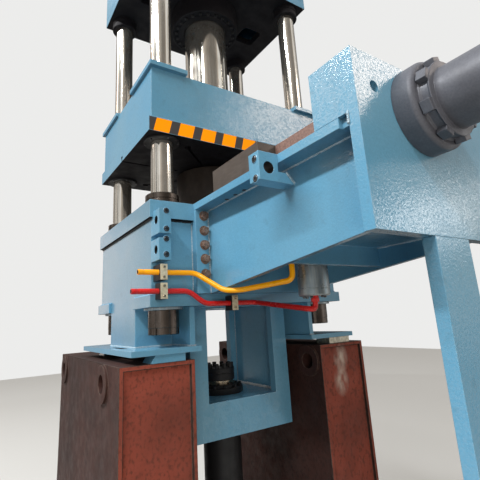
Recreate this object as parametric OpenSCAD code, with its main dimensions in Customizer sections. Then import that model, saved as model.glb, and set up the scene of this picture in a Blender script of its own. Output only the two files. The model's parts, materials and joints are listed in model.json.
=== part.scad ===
// Vertical cold-chamber die casting press with four guide columns, about 100 tonnes.
// Millimetres, +Z up. The origin is on the press axis at floor level, and the front faces -Y.

/* [Columns and ram] */
// Diameter of a guide column
col_d = 120; // [100:5:130]
// Pitch of the columns across the front
col_pitch_x = 1010; // [990:5:1020]
// Pitch of the columns from front to back
col_pitch_y = 700; // [650:5:710]
// Distance from the columns' axes to the sides of the crown, platen and bed plates
edge_x = 113; // [106:1:130]
// Diameter of the main ram
ram_d = 304; // [260:4:340]
// Length of ram inside the crown when the platen is down
ram_hidden = 400; // [250:10:500]
// How far the platen rises
platen_stroke = 500; // [300:10:600]
// Running clearance on the radius round a column or a ram
run_gap = 0.05; // [0.02:0.01:0.1]
// Outer diameter of the collars that seat on the columns
collar_d = 176; // [165:1:190]
// Height of the collars under the crown
crown_collar_h = 73; // [40:1:90]
// Height of the collars on the bed
bed_collar_h = 60; // [40:1:90]
// Outer diameter of the column nuts
nut_d = 152; // [145:1:165]
// Height of a column nut
nut_h = 116; // [80:1:125]
// Outer diameter of the washers under the nuts
washer_d = 192; // [170:1:200]
// Thickness of those washers
washer_t = 12; // [6:1:20]
// How far a column stands above its top nut
col_end = 25; // [10:5:60]

/* [Crown] */
// Distance from the columns' axes to the front and back of the crown
crown_edge_y = 105; // [100:1:140]
// Height of the crown's underside above the platen's covers at rest
daylight = 885; // [800:5:1100]
// Thickness of the crown's top and bottom plates
crown_plate_t = 60; // [40:5:80]
// Height of the walls between those plates
crown_wall_h = 330; // [250:10:400]
// Thickness of those walls
crown_wall_t = 30; // [20:1:38]
// Side of the square openings in the bottom plate
crown_window = 160; // [100:5:170]
// Distance from the sides of the crown to the middle of those openings
crown_window_in = 213; // [200:1:240]
// Corner radius of those openings
crown_window_r = 28; // [10:1:40]

/* [Main cylinder] */
// Outer diameter of the main cylinder
cyl_d = 490; // [450:5:520]
// Inner diameter of its barrel above the gland
cyl_bore = 340; // [330:2:360]
// How far the cylinder hangs below the crown
cyl_drop = 148; // [110:2:180]
// Height of the gland that guides the ram
gland_h = 210; // [120:5:240]
// Thickness of its closed end
cyl_cap_t = 70; // [50:5:100]
// Diameter of the head flange on top of the crown
head_flange_d = 600; // [560:5:640]
// Thickness of that flange
head_flange_t = 55; // [30:5:80]
// Free length left above the ram at its top
cyl_spare = 20; // [10:5:60]

/* [Moving platen] */
// Distance from the columns' axes to the front and back of the bottom plate
platen_edge_y = 109; // [106:1:130]
// Thickness of the bottom plate
platen_plate_t = 79; // [50:1:100]
// How far the box above it is set back at the sides
platen_set_x = 15; // [5:1:25]
// How far the box above it is set back at the front and back
platen_set_y = 5; // [2:1:15]
// Height of the box
platen_box_h = 296; // [240:2:340]
// Thickness of the walls of the box
platen_wall_t = 30; // [20:1:36]
// Thickness of the top of the box
platen_top_t = 50; // [30:5:70]
// Side of the solid boss under the ram
platen_boss_d = 420; // [360:10:460]
// Width of a cover plate
cover_w = 220; // [200:5:240]
// Length of a cover plate from front to back
cover_l = 340; // [280:5:360]
// How far the covers stand out in front of the bottom plate and behind it
cover_out = 20; // [1:1:31]
// Thickness of a cover plate
cover_t = 26; // [15:1:35]
// Height of the platen's underside above the bed at rest
platen_gap = 374; // [360:2:420]
// Outer diameter of the guide bushings
bushing_d = 160; // [150:1:170]
// Diameter of the flange under each bushing
bushing_flange_d = 192; // [180:1:196]
// Thickness of that flange
bushing_flange_t = 14; // [8:1:20]
// Height of the wiper ring on the covers
wiper_h = 16; // [8:1:24]
// Width of the clamping slots under the platen
slot_w = 14; // [10:1:22]
// Depth of those slots
slot_dep = 32; // [24:1:40]
// Width of the wide part at the bottom of a slot
slot_head_w = 26; // [24:1:29]
// Height of that wide part
slot_head_h = 14; // [8:1:18]
// Distance from the axis to the inner end of a diagonal slot
slot_diag_r = 200; // [180:5:260]
// Distance from the axis to the round entry of a diagonal slot
slot_entry_r = 486; // [440:2:490]
// Diameter of that entry
slot_entry_d = 40; // [30:1:50]
// Distance from the axis to the inner end of the middle slots
slot_mid_x = 250; // [230:5:340]

/* [Bed] */
// Distance from the columns' axes to the front and back of the bed plates
bed_edge_y = 116; // [115:1:140]
// Thickness of the top plate
bed_top_t = 89; // [60:1:110]
// Thickness of the bottom plate
bed_bottom_t = 56; // [40:1:70]
// Height of the walls between those plates
bed_wall_h = 370; // [360:5:420]
// Thickness of the side walls
bed_side_t = 34; // [20:1:36]
// Thickness of the front and back walls
bed_front_t = 28; // [20:1:29]
// How far the walls are set back from the plates at the sides
bed_set_x = 15; // [8:1:20]
// How far the walls are set back from the plates at the front and back
bed_set_y = 25; // [20:1:27]
// Thickness of a leg
leg_t = 60; // [40:2:64]
// Depth of a leg from front to back
leg_dep = 430; // [400:10:500]
// Height of a leg below the bottom plate
leg_h = 187; // [180:1:240]
// Thickness of the panels between a leg and its ribs
leg_panel_t = 28; // [20:1:40]
// Thickness of a leg's ribs
leg_rib_t = 28; // [20:1:32]
// Gap between the washer of a bottom nut and the rib beside it
leg_rib_gap = 6; // [3:1:12]
// How far a rib is set back from the end of the foot plate
leg_rib_set = 30; // [10:5:60]
// Diameter of the hole for the shot sleeve through the top plate
throat_d = 200; // [120:5:240]
// Diameter of the hole above the injection cylinder in the bottom plate
bed_hole_d = 260; // [200:5:300]

/* [Feet and stands] */
// Distance from the press axis to the inner edge of a foot plate
foot_x = 358; // [340:2:370]
// Width of a foot plate
foot_w = 344; // [320:2:360]
// Depth of a foot plate from front to back
foot_dep = 920; // [880:10:960]
// Thickness of a foot plate
foot_t = 25; // [20:1:40]
// Distance from the outer edge of a foot plate to its anchor slot
anchor_in = 58; // [38:2:78]
// Distance in front of the axis of the middle of the anchor slots
anchor_y = 90; // [0:5:150]
// Length of an anchor slot
anchor_l = 220; // [100:5:240]
// Width of an anchor slot
anchor_w = 30; // [20:1:36]
// Thickness of the shims between the feet and the stands
shim_t = 35; // [20:1:50]
// Distance from the axis to the middle of the left shims
shim_left_x = 525; // [490:5:590]
// Distance from the axis to the middle of the right shims
shim_right_x = 590; // [520:5:620]
// Width of a shim
shim_w = 170; // [120:5:190]
// Depth of a shim
shim_dep = 110; // [80:5:160]
// How far a shim is set back from the end of its foot plate
shim_set = 8; // [0:1:40]
// Height of the stands
stand_h = 1423; // [1250:1:1500]
// Width of a stand
stand_w = 360; // [340:2:380]
// Depth of the left stand from front to back
stand_left_dep = 1340; // [1300:10:1400]
// Depth of the right stand from front to back
stand_right_dep = 1160; // [1120:10:1200]
// Thickness of the plates of a stand
stand_t = 20; // [12:1:25]
// How far the end plates of a stand are set in
stand_end_set = 16; // [8:1:16]
// Distance from the axis to the near side of the left stand
stand_left_x = 389; // [345:1:395]
// Distance from the axis to the near side of the right stand
stand_right_x = 410; // [345:1:420]
// Distance of the front of the left stand from the axis
stand_left_y = 446; // [430:2:460]
// Distance of the front of the right stand from the axis
stand_right_y = 465; // [435:1:480]
// Outer diameter of the rings on the sides of a stand
ring_d = 174; // [150:2:178]
// Diameter of the hole through a ring
ring_hole_d = 88; // [60:2:110]
// How far a ring stands proud of the side
ring_t = 14; // [8:1:24]
// Depth of the ring's axis below the top of the stand
ring_drop = 90; // [88:1:140]
// Distance of the rings of the right stand from its ends
ring_end = 105; // [90:1:160]
// Distance of the front ring of the left stand from its front
ring_left_front = 246; // [200:2:280]
// Distance of the back ring of the left stand from its back
ring_left_back = 149; // [110:1:200]

/* [Injection unit] */
// Width of the injection frame
frame_w = 650; // [600:5:680]
// Depth of the injection frame
frame_dep = 530; // [480:5:560]
// Thickness of its front and back walls
frame_front_t = 50; // [30:5:60]
// Thickness of its side walls
frame_side_t = 55; // [30:5:60]
// Width of its front and back windows
frame_window_w = 444; // [400:4:460]
// Depth of its floor below the bed
frame_floor_drop = 495; // [440:5:540]
// Thickness of its floor
frame_floor_t = 30; // [20:5:40]
// Height of the skirt below its floor
frame_skirt_h = 150; // [100:10:250]
// Diameter of the flange of the injection cylinder
inj_flange_d = 274; // [260:2:300]
// Thickness of that flange
inj_flange_t = 34; // [20:2:50]
// Diameter of the bolted ring on that flange
inj_ring_d = 224; // [210:2:240]
// Height of that ring
inj_ring_h = 14; // [8:1:24]
// Diameter of the bare steel neck
inj_neck_d = 164; // [150:2:170]
// Height of that neck
inj_neck_h = 22; // [12:2:40]
// Diameter of the head above the neck
inj_head_d = 180; // [170:2:200]
// Height of the head
inj_head_h = 86; // [60:2:110]
// Diameter of the injection rod
inj_rod_d = 90; // [60:2:110]
// Diameter of the barrel under the floor
inj_barrel_d = 220; // [180:5:250]
// Length of the barrel under the floor
inj_barrel_l = 700; // [500:10:800]
// Wall of the barrel
inj_wall_t = 25; // [15:1:40]
// Diameter of the round die block
die_d = 470; // [440:2:520]
// Height of the die block
die_h = 355; // [300:5:358]

/* [Bracket] */
// Width of the bracket's flange, table and end plate
bracket_w = 768; // [740:4:800]
// Thickness of its flange
bracket_flange_t = 47; // [42:1:60]
// Distance from its flange to the end plate
bracket_reach = 1011; // [990:1:1040]
// How far the table stops short of the end plate
table_short = 39; // [10:1:60]
// Thickness of the table
table_t = 36; // [25:1:50]
// Distance between the outer faces of the webs
web_span = 619; // [600:1:640]
// Thickness of a web
web_t = 25; // [15:1:35]
// How much lower the webs are at the flange than at the end
web_taper = 111; // [60:1:150]
// Height of the shelf's underside above the underside of the flange
shelf_rise = 158; // [130:1:190]
// Thickness of the shelf
shelf_t = 30; // [20:1:40]
// Distance of the cross rib from the flange
rib_out = 542; // [520:2:580]
// Thickness of the cross rib
rib_t = 25; // [15:1:30]
// Drop of the cross rib below the shelf
rib_drop = 87; // [60:1:95]
// Thickness of the end plate
end_t = 40; // [30:1:60]
// Height of the end plate
end_h = 578; // [560:2:600]
// How far the end plate rises above the table
end_rise = 208; // [190:2:230]
// Depth of the box behind the end plate above the table
end_box_dep = 143; // [100:1:165]
// Width of the post under the end plate
post_w = 200; // [160:5:240]
// Depth of the post from front to back
post_dep = 46; // [40:1:60]
// Wall of the post
post_t = 8; // [5:1:12]
// Width of the foot of the post
post_foot_w = 320; // [280:5:360]
// Depth of the foot of the post
post_foot_dep = 160; // [120:5:200]
// Thickness of the foot of the post
post_foot_t = 20; // [12:1:30]
// Diameter of the eyebolt hole in the end plate
eye_d = 38; // [30:1:44]
// Depth of the eyebolt hole
eye_dep = 48; // [30:1:70]
// Distance of the eyebolt hole from the middle
eye_x = 292; // [260:2:320]
// Height of the eyebolt hole above the table
eye_z = 93; // [70:1:120]

/* [Cross slide] */
// Width of the cross slide
slide_w = 553; // [500:1:560]
// Height of the cross slide above the table
slide_h = 113; // [80:1:125]
// Length of the cross slide
slide_l = 700; // [600:5:720]
// Gap between the slide and the end box when it is drawn back
slide_home = 16; // [10:1:40]
// How far the slide travels
slide_stroke = 350; // [200:10:350]
// Clearance beside and under the slide
slide_gap = 0.5; // [0.3:0.1:1]
// Width of a gib
gib_w = 93; // [70:1:95]
// Length of a gib
gib_l = 372; // [300:2:400]
// Distance of the gibs from the flange
gib_out = 167; // [120:1:200]
// Diameter of the rod of the side cylinder
side_rod_d = 90; // [60:2:110]
// Distance of the side cylinder to the left of the middle
side_x = 60; // [0:2:80]
// Height of the side cylinder above the table
side_z = 56; // [50:1:65]
// Diameter of the flange of the side cylinder
side_flange_d = 310; // [290:2:330]
// Length of that flange
side_flange_l = 75; // [50:1:100]
// Diameter of the keyed ring on it
side_ring_d = 256; // [240:2:270]
// Length of that ring
side_ring_l = 40; // [25:1:60]
// Diameter of the barrel of the side cylinder
side_barrel_d = 210; // [190:2:230]
// Length of that barrel
side_barrel_l = 400; // [380:5:480]
// Bore of the side cylinder
side_bore = 160; // [130:2:170]

/* [Small pieces] */
// Diameter of the cylinder that hangs under the bracket
hung_d = 142; // [130:2:180]
// Length of that cylinder below the shelf
hung_l = 206; // [150:2:240]
// Distance of that cylinder in front of the bracket's flange
hung_out = 397; // [340:1:420]
// Width of the bored blocks at the front left corner
block_w = 60; // [50:1:66]
// Reach of the upper block in front of the bed's front wall
block_a_out = 104; // [90:1:120]
// Height of the upper block
block_a_h = 121; // [100:1:130]
// How far the upper block rises beside the top plate
block_a_rise = 26; // [15:1:40]
// Reach of the lower block in front of the bed's front wall
block_b_out = 100; // [90:1:110]
// Height of the lower block
block_b_h = 104; // [90:1:112]
// Gap between the two blocks
block_gap = 20; // [10:1:30]
// Diameter of the bores across these two blocks
block_bore_d = 40; // [30:1:50]
// Width of the block on the side of the table
lug_w = 88; // [70:1:100]
// Length of that block along the table
lug_l = 63; // [50:1:80]
// Height of that block
lug_h = 111; // [100:1:130]
// Height of the arm that reaches from that block to the web
lug_arm_h = 42; // [30:1:60]
// Length of the arm's top before it slopes down
lug_arm_l = 36; // [20:1:50]
// Height of the arm's tip
lug_tip_h = 6; // [3:1:20]
// Distance of that block from the flange
lug_out = 608; // [600:1:640]
// Diameter of its bore
lug_bore_d = 46; // [36:1:50]
// Depth of that bore's axis below the top of the table
lug_bore_drop = 60; // [50:1:65]
// Outer diameter of the oil pipes
pipe_d = 25; // [20:1:28]
// Distance of the pipes in front of the bed's plates
pipe_out = 39; // [30:1:50]
// How far the yellow pipe runs out past the side of the bed
yellow_over = 72; // [40:2:100]
// How far the red pipe runs out past the side of the bed
red_over = 102; // [40:2:120]
// Height of the yellow pipe above the bed's ledge
yellow_up = 154; // [140:1:170]
// Height of the yellow pipe where it enters the hung cylinder
yellow_end_up = 180; // [150:2:190]
// Height of the yellow pipe on its way in under the bracket
yellow_low_up = 54; // [40:2:80]
// Distance from the hung cylinder to the upright part of the yellow pipe
yellow_off = 49; // [40:1:70]
// Distance outside the web where the yellow pipe bends away from the bed's front
yellow_leave_out = 96; // [80:2:140]
// Distance outside the web where its slant ends
yellow_dip_out = 9; // [5:1:30]
// How far that end lies in front of the straight pipes
yellow_dip_front = 122; // [90:2:130]
// Height of that end above the bed's ledge
yellow_dip_up = 58; // [50:1:80]
// Distance inside the web where the yellow pipe passes under it
yellow_under_in = 38; // [20:1:60]
// How far that place lies in front of the straight pipes
yellow_under_front = 185; // [150:5:220]
// Height of the yellow pipe's upright part above the ledge where it starts
yellow_rise_up = 80; // [60:1:100]
// Distance from the hung cylinder's end down to the red pipe under it
red_drop = 56; // [40:1:80]
// Height of the red pipe above the ledge at its left end
red_up = 68; // [60:1:75]
// Height of the red pipe above the ledge at the middle clamp
red_low_up = 6; // [0:1:12]
// Distance outside the web where the red pipe starts to drop
red_leave_out = 132; // [110:2:180]
// Distance outside the web where the red pipe's drop ends
red_dip_out = 46; // [20:2:60]
// Distance from the axis to where the red pipe turns away from the bed
red_turn_in = 60; // [50:5:90]
// Distance from the axis to where the red pipe reaches the hung cylinder's middle
red_reach_in = 40; // [30:5:45]
// Width of a pipe clamp
clamp_w = 34; // [20:1:40]
// Height of a pipe clamp
clamp_h = 72; // [60:1:76]
// Distance from the side of the bed plates to the two clamps at the left
clamp_left_in = 42; // [33:1:58]
// Distance from the axis to the clamp on the front of the ledge
clamp_mid_x = 200; // [100:5:300]

/* [Hidden] */
$fn = 64;

// Facets of a pipe, and how far a cut runs past the face that it opens
pipe_fn = 12;
cut = 5;

// Clearance of a hole round something that sits in it and doesn't move, and of a free hole
seat_gap = 0.05;
free_gap = 4;

// Clearance of a pipe in its clamps, and between a pipe's end and what it feeds
clamp_gap = 0.5;
pipe_gap = 0.3;

// Places of the columns, and the plates that reach past them
col_x = col_pitch_x / 2;
col_y = col_pitch_y / 2;
corners = [[-col_x, -col_y], [col_x, -col_y], [-col_x, col_y], [col_x, col_y]];
plate_w = col_pitch_x + 2 * edge_x;
crown_dep = col_pitch_y + 2 * crown_edge_y;
platen_dep = col_pitch_y + 2 * platen_edge_y;
bed_dep = col_pitch_y + 2 * bed_edge_y;

// Levels, from the floor up
foot_z = stand_h + shim_t;
leg_z = foot_z + foot_t;
ledge_z = leg_z + leg_h;
wall_z = ledge_z + bed_bottom_t;
plate_z = wall_z + bed_wall_h;
bed_z = plate_z + bed_top_t;
platen_z = bed_z + platen_gap;
box_z = platen_z + platen_plate_t;
box_top_z = box_z + platen_box_h;
cover_top_z = box_top_z + cover_t;
crown_z = cover_top_z + daylight;
crown_wall_z = crown_z + crown_plate_t;
crown_lid_z = crown_wall_z + crown_wall_h;
crown_top_z = crown_lid_z + crown_plate_t;
nut_top_z = crown_top_z + washer_t + nut_h;
col_low_z = ledge_z - washer_t - nut_h;

// Main cylinder and ram
cyl_low_z = crown_z - cyl_drop;
gland_z = cyl_low_z + gland_h;
ram_top_z = crown_z + ram_hidden;
cyl_in_z = ram_top_z + platen_stroke + cyl_spare;
cyl_top_z = cyl_in_z + cyl_cap_t;

// Bed and bracket faces
bed_side_x = plate_w / 2 - bed_set_x;
bed_front_y = bed_dep / 2 - bed_set_y;
flange_y = -bed_front_y - bracket_flange_t;
end_y = flange_y - bracket_reach;
end_face_y = end_y - end_t;
table_z = bed_z - table_t;
flange_z = wall_z;
shelf_z = flange_z + shelf_rise;
web_x = web_span / 2;
post_y = end_face_y + post_dep / 2;
end_low_z = bed_z + end_rise - end_h;

// Injection unit
frame_floor_z = ledge_z - frame_floor_drop;
frame_low_z = frame_floor_z - frame_floor_t - frame_skirt_h;
inj_top_z = frame_floor_z + inj_flange_t + inj_ring_h;

// Cross slide and its cylinder
slide_y = end_y + end_box_dep + slide_home;
side_axis_z = bed_z + side_z;
side_back_y = end_face_y - side_flange_l - side_ring_l - side_barrel_l;
hung_y = flange_y - hung_out;
hung_z = shelf_z - hung_l;

// The plane of the pipes in front of the bed
pipe_y = -bed_dep / 2 - pipe_out;

// Colours
blue = [0.42, 0.65, 0.78];
chrome = [0.82, 0.83, 0.85];
steel = [0.52, 0.53, 0.54];
dark = [0.24, 0.22, 0.20];
black = [0.10, 0.10, 0.11];
primer = [0.42, 0.20, 0.16];

// Routes of the two oil pipes, from the bed's left side to the hung cylinder, with heights above the ledge
yellow_x = -hung_d / 2 - yellow_off;
hung_low = hung_z - ledge_z;
yellow_route = [
    [-plate_w / 2 - yellow_over, pipe_y, yellow_up],
    [-web_x - yellow_leave_out, pipe_y, yellow_up],
    [-web_x - yellow_dip_out, pipe_y - yellow_dip_front, yellow_dip_up],
    [-web_x + yellow_under_in, pipe_y - yellow_under_front, yellow_low_up],
    [yellow_x, hung_y, yellow_rise_up],
    [yellow_x, hung_y, yellow_end_up],
    [-hung_d / 2 - pipe_gap, hung_y, yellow_end_up]
];
red_route = [
    [-plate_w / 2 - red_over, pipe_y, red_up],
    [-web_x - red_leave_out, pipe_y, red_up],
    [-web_x - red_dip_out, pipe_y, red_low_up],
    [-red_turn_in, pipe_y, red_low_up],
    [-red_reach_in, hung_y, hung_low - red_drop],
    [0, hung_y, hung_low - red_drop],
    [0, hung_y, hung_low - pipe_gap]
];
pipe_bend_r = 32;
pipe_bend_steps = 4;

// A block from its middle in X and Y and its lowest Z
module block(w, dep, h, at) {
    translate([at[0] - w / 2, at[1] - dep / 2, at[2]])
        cube([w, dep, h]);
}

// A round bar standing at a place
module bar(d, h, at) {
    translate(at)
        cylinder(h = h, d = d);
}

// A ring standing at a place
module ring(outer, inner, h, at) {
    translate(at)
        difference() {
            cylinder(h = h, d = outer);
            translate([0, 0, -cut])
                cylinder(h = h + 2 * cut, d = inner);
        }
}

// Holes for the four columns through a plate
module column_holes(z, h, d) {
    for (c = corners)
        bar(d, h + 2 * cut, [c[0], c[1], z - cut]);
}

// Round bar along Y, from a place towards the front
module bar_y(d, l, at) {
    translate(at)
        rotate([90, 0, 0])
            cylinder(h = l, d = d);
}

module crown_bottom_plate() {
    color(blue)
        difference() {
            block(plate_w, crown_dep, crown_plate_t, [0, 0, crown_z]);
            column_holes(crown_z, crown_plate_t, col_d + 2 * seat_gap);
            bar(cyl_d + 2 * seat_gap, crown_plate_t + 2 * cut, [0, 0, crown_z - cut]);
            for (side = [-1, 1])
                translate([side * (plate_w / 2 - crown_window_in), 0, crown_z - cut])
                    rounded_prism(crown_window, crown_window_r, crown_plate_t + 2 * cut);
        }
}

// A square prism with round upright corners
module rounded_prism(w, r, h) {
    half = w / 2 - r;
    union() {
        block(w, 2 * half, h, [0, 0, 0]);
        block(2 * half, w, h, [0, 0, 0]);
        for (x = [-half, half])
            for (y = [-half, half])
                bar(2 * r, h, [x, y, 0]);
    }
}

module crown_walls() {
    color(blue)
        difference() {
            block(plate_w, crown_dep, crown_wall_h, [0, 0, crown_wall_z]);
            block(plate_w - 2 * crown_wall_t, crown_dep - 2 * crown_wall_t, crown_wall_h + 2 * cut,
                [0, 0, crown_wall_z - cut]);
        }
}

module crown_top_plate() {
    color(blue)
        difference() {
            block(plate_w, crown_dep, crown_plate_t, [0, 0, crown_lid_z]);
            column_holes(crown_lid_z, crown_plate_t, col_d + 2 * seat_gap);
            bar(cyl_d + 2 * seat_gap, crown_plate_t + 2 * cut, [0, 0, crown_lid_z - cut]);
        }
}

module main_cylinder() {
    color(steel)
        difference() {
            union() {
                bar(cyl_d, cyl_top_z - cyl_low_z, [0, 0, cyl_low_z]);
                bar(head_flange_d, head_flange_t, [0, 0, crown_top_z]);
            }
            bar(ram_d + 2 * run_gap, gland_h + 2 * cut, [0, 0, cyl_low_z - cut]);
            bar(cyl_bore, cyl_in_z - gland_z, [0, 0, gland_z]);
        }
}

module main_ram() {
    color(chrome)
        bar(ram_d, ram_top_z - box_top_z, [0, 0, box_top_z]);
}

module column(c) {
    color(chrome)
        bar(col_d, nut_top_z + col_end - col_low_z, [c[0], c[1], col_low_z]);
}

module column_nut(d_washer, z_washer, z_nut, c) {
    ring(d_washer, col_d + 2 * seat_gap, washer_t, [c[0], c[1], z_washer]);
    ring(nut_d, col_d + 2 * seat_gap, nut_h, [c[0], c[1], z_nut]);
}

module column_top_nuts() {
    color(dark)
        for (c = corners)
            union()
                column_nut(washer_d, crown_top_z, crown_top_z + washer_t, c);
}

module column_bottom_nuts() {
    color(dark)
        for (c = corners)
            union()
                column_nut(washer_d, ledge_z - washer_t, col_low_z, c);
}

module column_collars() {
    color(dark)
        for (c = corners) {
            ring(collar_d, col_d + 2 * seat_gap, crown_collar_h, [c[0], c[1], crown_z - crown_collar_h]);
            ring(collar_d, col_d + 2 * seat_gap, bed_collar_h, [c[0], c[1], bed_z]);
        }
}

// The hollow box of the platen, with a solid boss under the ram
module platen_box() {
    box_w = plate_w - 2 * platen_set_x;
    box_dep = platen_dep - 2 * platen_set_y;
    color(blue)
        difference() {
            union() {
                difference() {
                    block(box_w, box_dep, platen_box_h, [0, 0, box_z]);
                    block(box_w - 2 * platen_wall_t, box_dep - 2 * platen_wall_t,
                        platen_box_h - platen_top_t + cut, [0, 0, box_z - cut]);
                }
                bar(platen_boss_d, platen_box_h, [0, 0, box_z]);
            }
            column_holes(box_z, platen_box_h, bushing_d + 2 * seat_gap);
        }
}

module platen_bottom_plate() {
    color(blue)
        difference() {
            block(plate_w, platen_dep, platen_plate_t, [0, 0, platen_z]);
            column_holes(platen_z, platen_plate_t, bushing_d + 2 * seat_gap);
            for (turn = [0, 180])
                rotate([0, 0, turn])
                    clamping_slot(slot_mid_x, plate_w / 2 + cut);
            for (turn = [45:90:315])
                rotate([0, 0, turn]) {
                    clamping_slot(slot_diag_r, slot_entry_r);
                    bar(slot_entry_d, slot_dep + cut, [slot_entry_r, 0, platen_z - cut]);
                }
        }
}

// A slot with a wide bottom, cut upwards along +X between two distances from the axis
module clamping_slot(from, to) {
    middle = (from + to) / 2;
    block(to - from, slot_w, slot_dep + cut, [middle, 0, platen_z - cut]);
    block(to - from, slot_head_w, slot_head_h, [middle, 0, platen_z + slot_dep - slot_head_h]);
}

// A cover plate round each column
module platen_covers() {
    cover_x = (plate_w - cover_w) / 2;
    cover_y = platen_dep / 2 + cover_out - cover_l / 2;
    color(blue)
        for (side = [-1, 1])
            for (end = [-1, 1])
                difference() {
                    block(cover_w, cover_l, cover_t, [side * cover_x, end * cover_y, box_top_z]);
                    column_holes(box_top_z, cover_t, bushing_d + 2 * seat_gap);
                }
}

module platen_bushings() {
    low_z = platen_z - bushing_flange_t;
    color(dark)
        for (c = corners)
            difference() {
                union() {
                    bar(bushing_d, cover_top_z + wiper_h - platen_z, [c[0], c[1], platen_z]);
                    bar(bushing_flange_d, bushing_flange_t, [c[0], c[1], low_z]);
                }
                bar(col_d + 2 * run_gap, cover_top_z + wiper_h - low_z + 2 * cut, [c[0], c[1], low_z - cut]);
            }
}

module bed_top_plate() {
    color(blue)
        difference() {
            block(plate_w, bed_dep, bed_top_t, [0, 0, plate_z]);
            column_holes(plate_z, bed_top_t, col_d + 2 * seat_gap);
            bar(throat_d, bed_top_t + 2 * cut, [0, 0, plate_z - cut]);
        }
}

// A side wall with the thick leg that runs down through the bottom plate's notch, and the leg's panels and ribs
module bed_side_wall(side) {
    rib_x = (col_pitch_x - washer_d - leg_rib_t) / 2 - leg_rib_gap;
    rib_end = foot_dep / 2 - leg_rib_set;
    rib_start = leg_dep / 2 - leg_panel_t;
    color(blue)
        union() {
            for (end = [-1, 1]) {
                block(bed_side_x - leg_t / 2 - rib_x, leg_panel_t, leg_h,
                    [side * (bed_side_x - leg_t / 2 + rib_x) / 2, end * (rib_start + leg_panel_t / 2), leg_z]);
                block(leg_rib_t, rib_end - rib_start, leg_h,
                    [side * rib_x, end * (rib_end + rib_start) / 2, leg_z]);
            }
            block(bed_side_t, 2 * bed_front_y, bed_wall_h, [side * (bed_side_x - bed_side_t / 2), 0, wall_z]);
            block(leg_t, leg_dep, plate_z - leg_z, [side * (bed_side_x - leg_t / 2), 0, leg_z]);
        }
}

module bed_end_wall(side) {
    color(blue)
        block(2 * (bed_side_x - bed_side_t), bed_front_t, bed_wall_h,
            [0, side * (bed_front_y - bed_front_t / 2), wall_z]);
}

module bed_bottom_plate() {
    color(blue)
        difference() {
            block(plate_w, bed_dep, bed_bottom_t, [0, 0, ledge_z]);
            column_holes(ledge_z, bed_bottom_t, col_d + 2 * seat_gap);
            bar(bed_hole_d, bed_bottom_t + 2 * cut, [0, 0, ledge_z - cut]);
            for (side = [-1, 1])
                block(leg_t + bed_set_x + cut, leg_dep, bed_bottom_t + 2 * cut,
                    [side * (plate_w / 2 + cut - (leg_t + bed_set_x + cut) / 2), 0, ledge_z - cut]);
        }
}

module foot_plates() {
    color(blue)
        for (side = [-1, 1])
            difference() {
                block(foot_w, foot_dep, foot_t, [side * (foot_x + foot_w / 2), 0, foot_z]);
                anchor_slot(side);
            }
}

module anchor_slot(side) {
    straight = anchor_l - anchor_w;
    union() {
        block(anchor_w, straight, foot_t + 2 * cut, [side * (foot_x + foot_w - anchor_in), -anchor_y, foot_z - cut]);
        for (y = [-straight / 2, straight / 2])
            bar(anchor_w, foot_t + 2 * cut, [side * (foot_x + foot_w - anchor_in), y - anchor_y, foot_z - cut]);
    }
}

module shim_plates() {
    shim_y = foot_dep / 2 - shim_set - shim_dep / 2;
    color(steel)
        for (x = [-shim_left_x, shim_right_x])
            for (y = [-shim_y, shim_y])
                block(shim_w, shim_dep, shim_t, [x, y, stand_h]);
}

// A front or back wall of the injection frame, with its window up to the bed
module frame_end_wall(side) {
    color(blue)
        difference() {
            block(frame_w, frame_front_t, ledge_z - frame_low_z,
                [0, side * (frame_dep - frame_front_t) / 2, frame_low_z]);
            block(frame_window_w, frame_front_t + 2 * cut, frame_floor_drop + cut,
                [0, side * (frame_dep - frame_front_t) / 2, frame_floor_z]);
        }
}

module frame_side_walls() {
    color(blue)
        for (side = [-1, 1])
            block(frame_side_t, frame_dep - 2 * frame_front_t, ledge_z - frame_low_z,
                [side * (frame_w - frame_side_t) / 2, 0, frame_low_z]);
}

module frame_floor() {
    color(blue)
        difference() {
            block(frame_w - 2 * frame_side_t, frame_dep - 2 * frame_front_t, frame_floor_t,
                [0, 0, frame_floor_z - frame_floor_t]);
            bar(inj_barrel_d + 2 * seat_gap, frame_floor_t + 2 * cut,
                [0, 0, frame_floor_z - frame_floor_t - cut]);
        }
}

module injection_cylinder() {
    low_z = frame_floor_z - frame_floor_t - inj_barrel_l;
    color(black)
        difference() {
            union() {
                bar(inj_barrel_d, frame_floor_z - low_z, [0, 0, low_z]);
                bar(inj_flange_d, inj_flange_t, [0, 0, frame_floor_z]);
                bar(inj_ring_d, inj_ring_h, [0, 0, frame_floor_z + inj_flange_t]);
            }
            bar(inj_barrel_d - 2 * inj_wall_t, frame_floor_z - low_z - 2 * inj_wall_t, [0, 0, low_z + inj_wall_t]);
        }
}

module injection_head() {
    color(black)
        union() {
            bar(inj_neck_d, inj_neck_h, [0, 0, inj_top_z]);
            bar(inj_head_d, inj_head_h, [0, 0, inj_top_z + inj_neck_h]);
        }
}

module die_block() {
    color(dark)
        ring(die_d, inj_rod_d, die_h, [0, 0, bed_z]);
}

// The bolted flange, rebated for the edge of the bed's top plate
module bracket_flange() {
    lip = bracket_flange_t - bed_set_y;
    color(blue)
        union() {
            block(bracket_w, bracket_flange_t, plate_z - flange_z,
                [0, flange_y + bracket_flange_t / 2, flange_z]);
            block(bracket_w, lip, table_z - flange_z, [0, flange_y + lip / 2, flange_z]);
        }
}

// The two tapered webs between the flange and the end plate
module bracket_webs() {
    side_shape = [
        [flange_y, flange_z],
        [end_y, flange_z + web_taper],
        [end_y, table_z],
        [flange_y, table_z]
    ];
    color(blue)
        for (x = [-web_x, web_x - web_t])
            translate([x, 0, 0])
                rotate([90, 0, 90])
                    linear_extrude(height = web_t)
                        polygon(side_shape);
}

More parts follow.
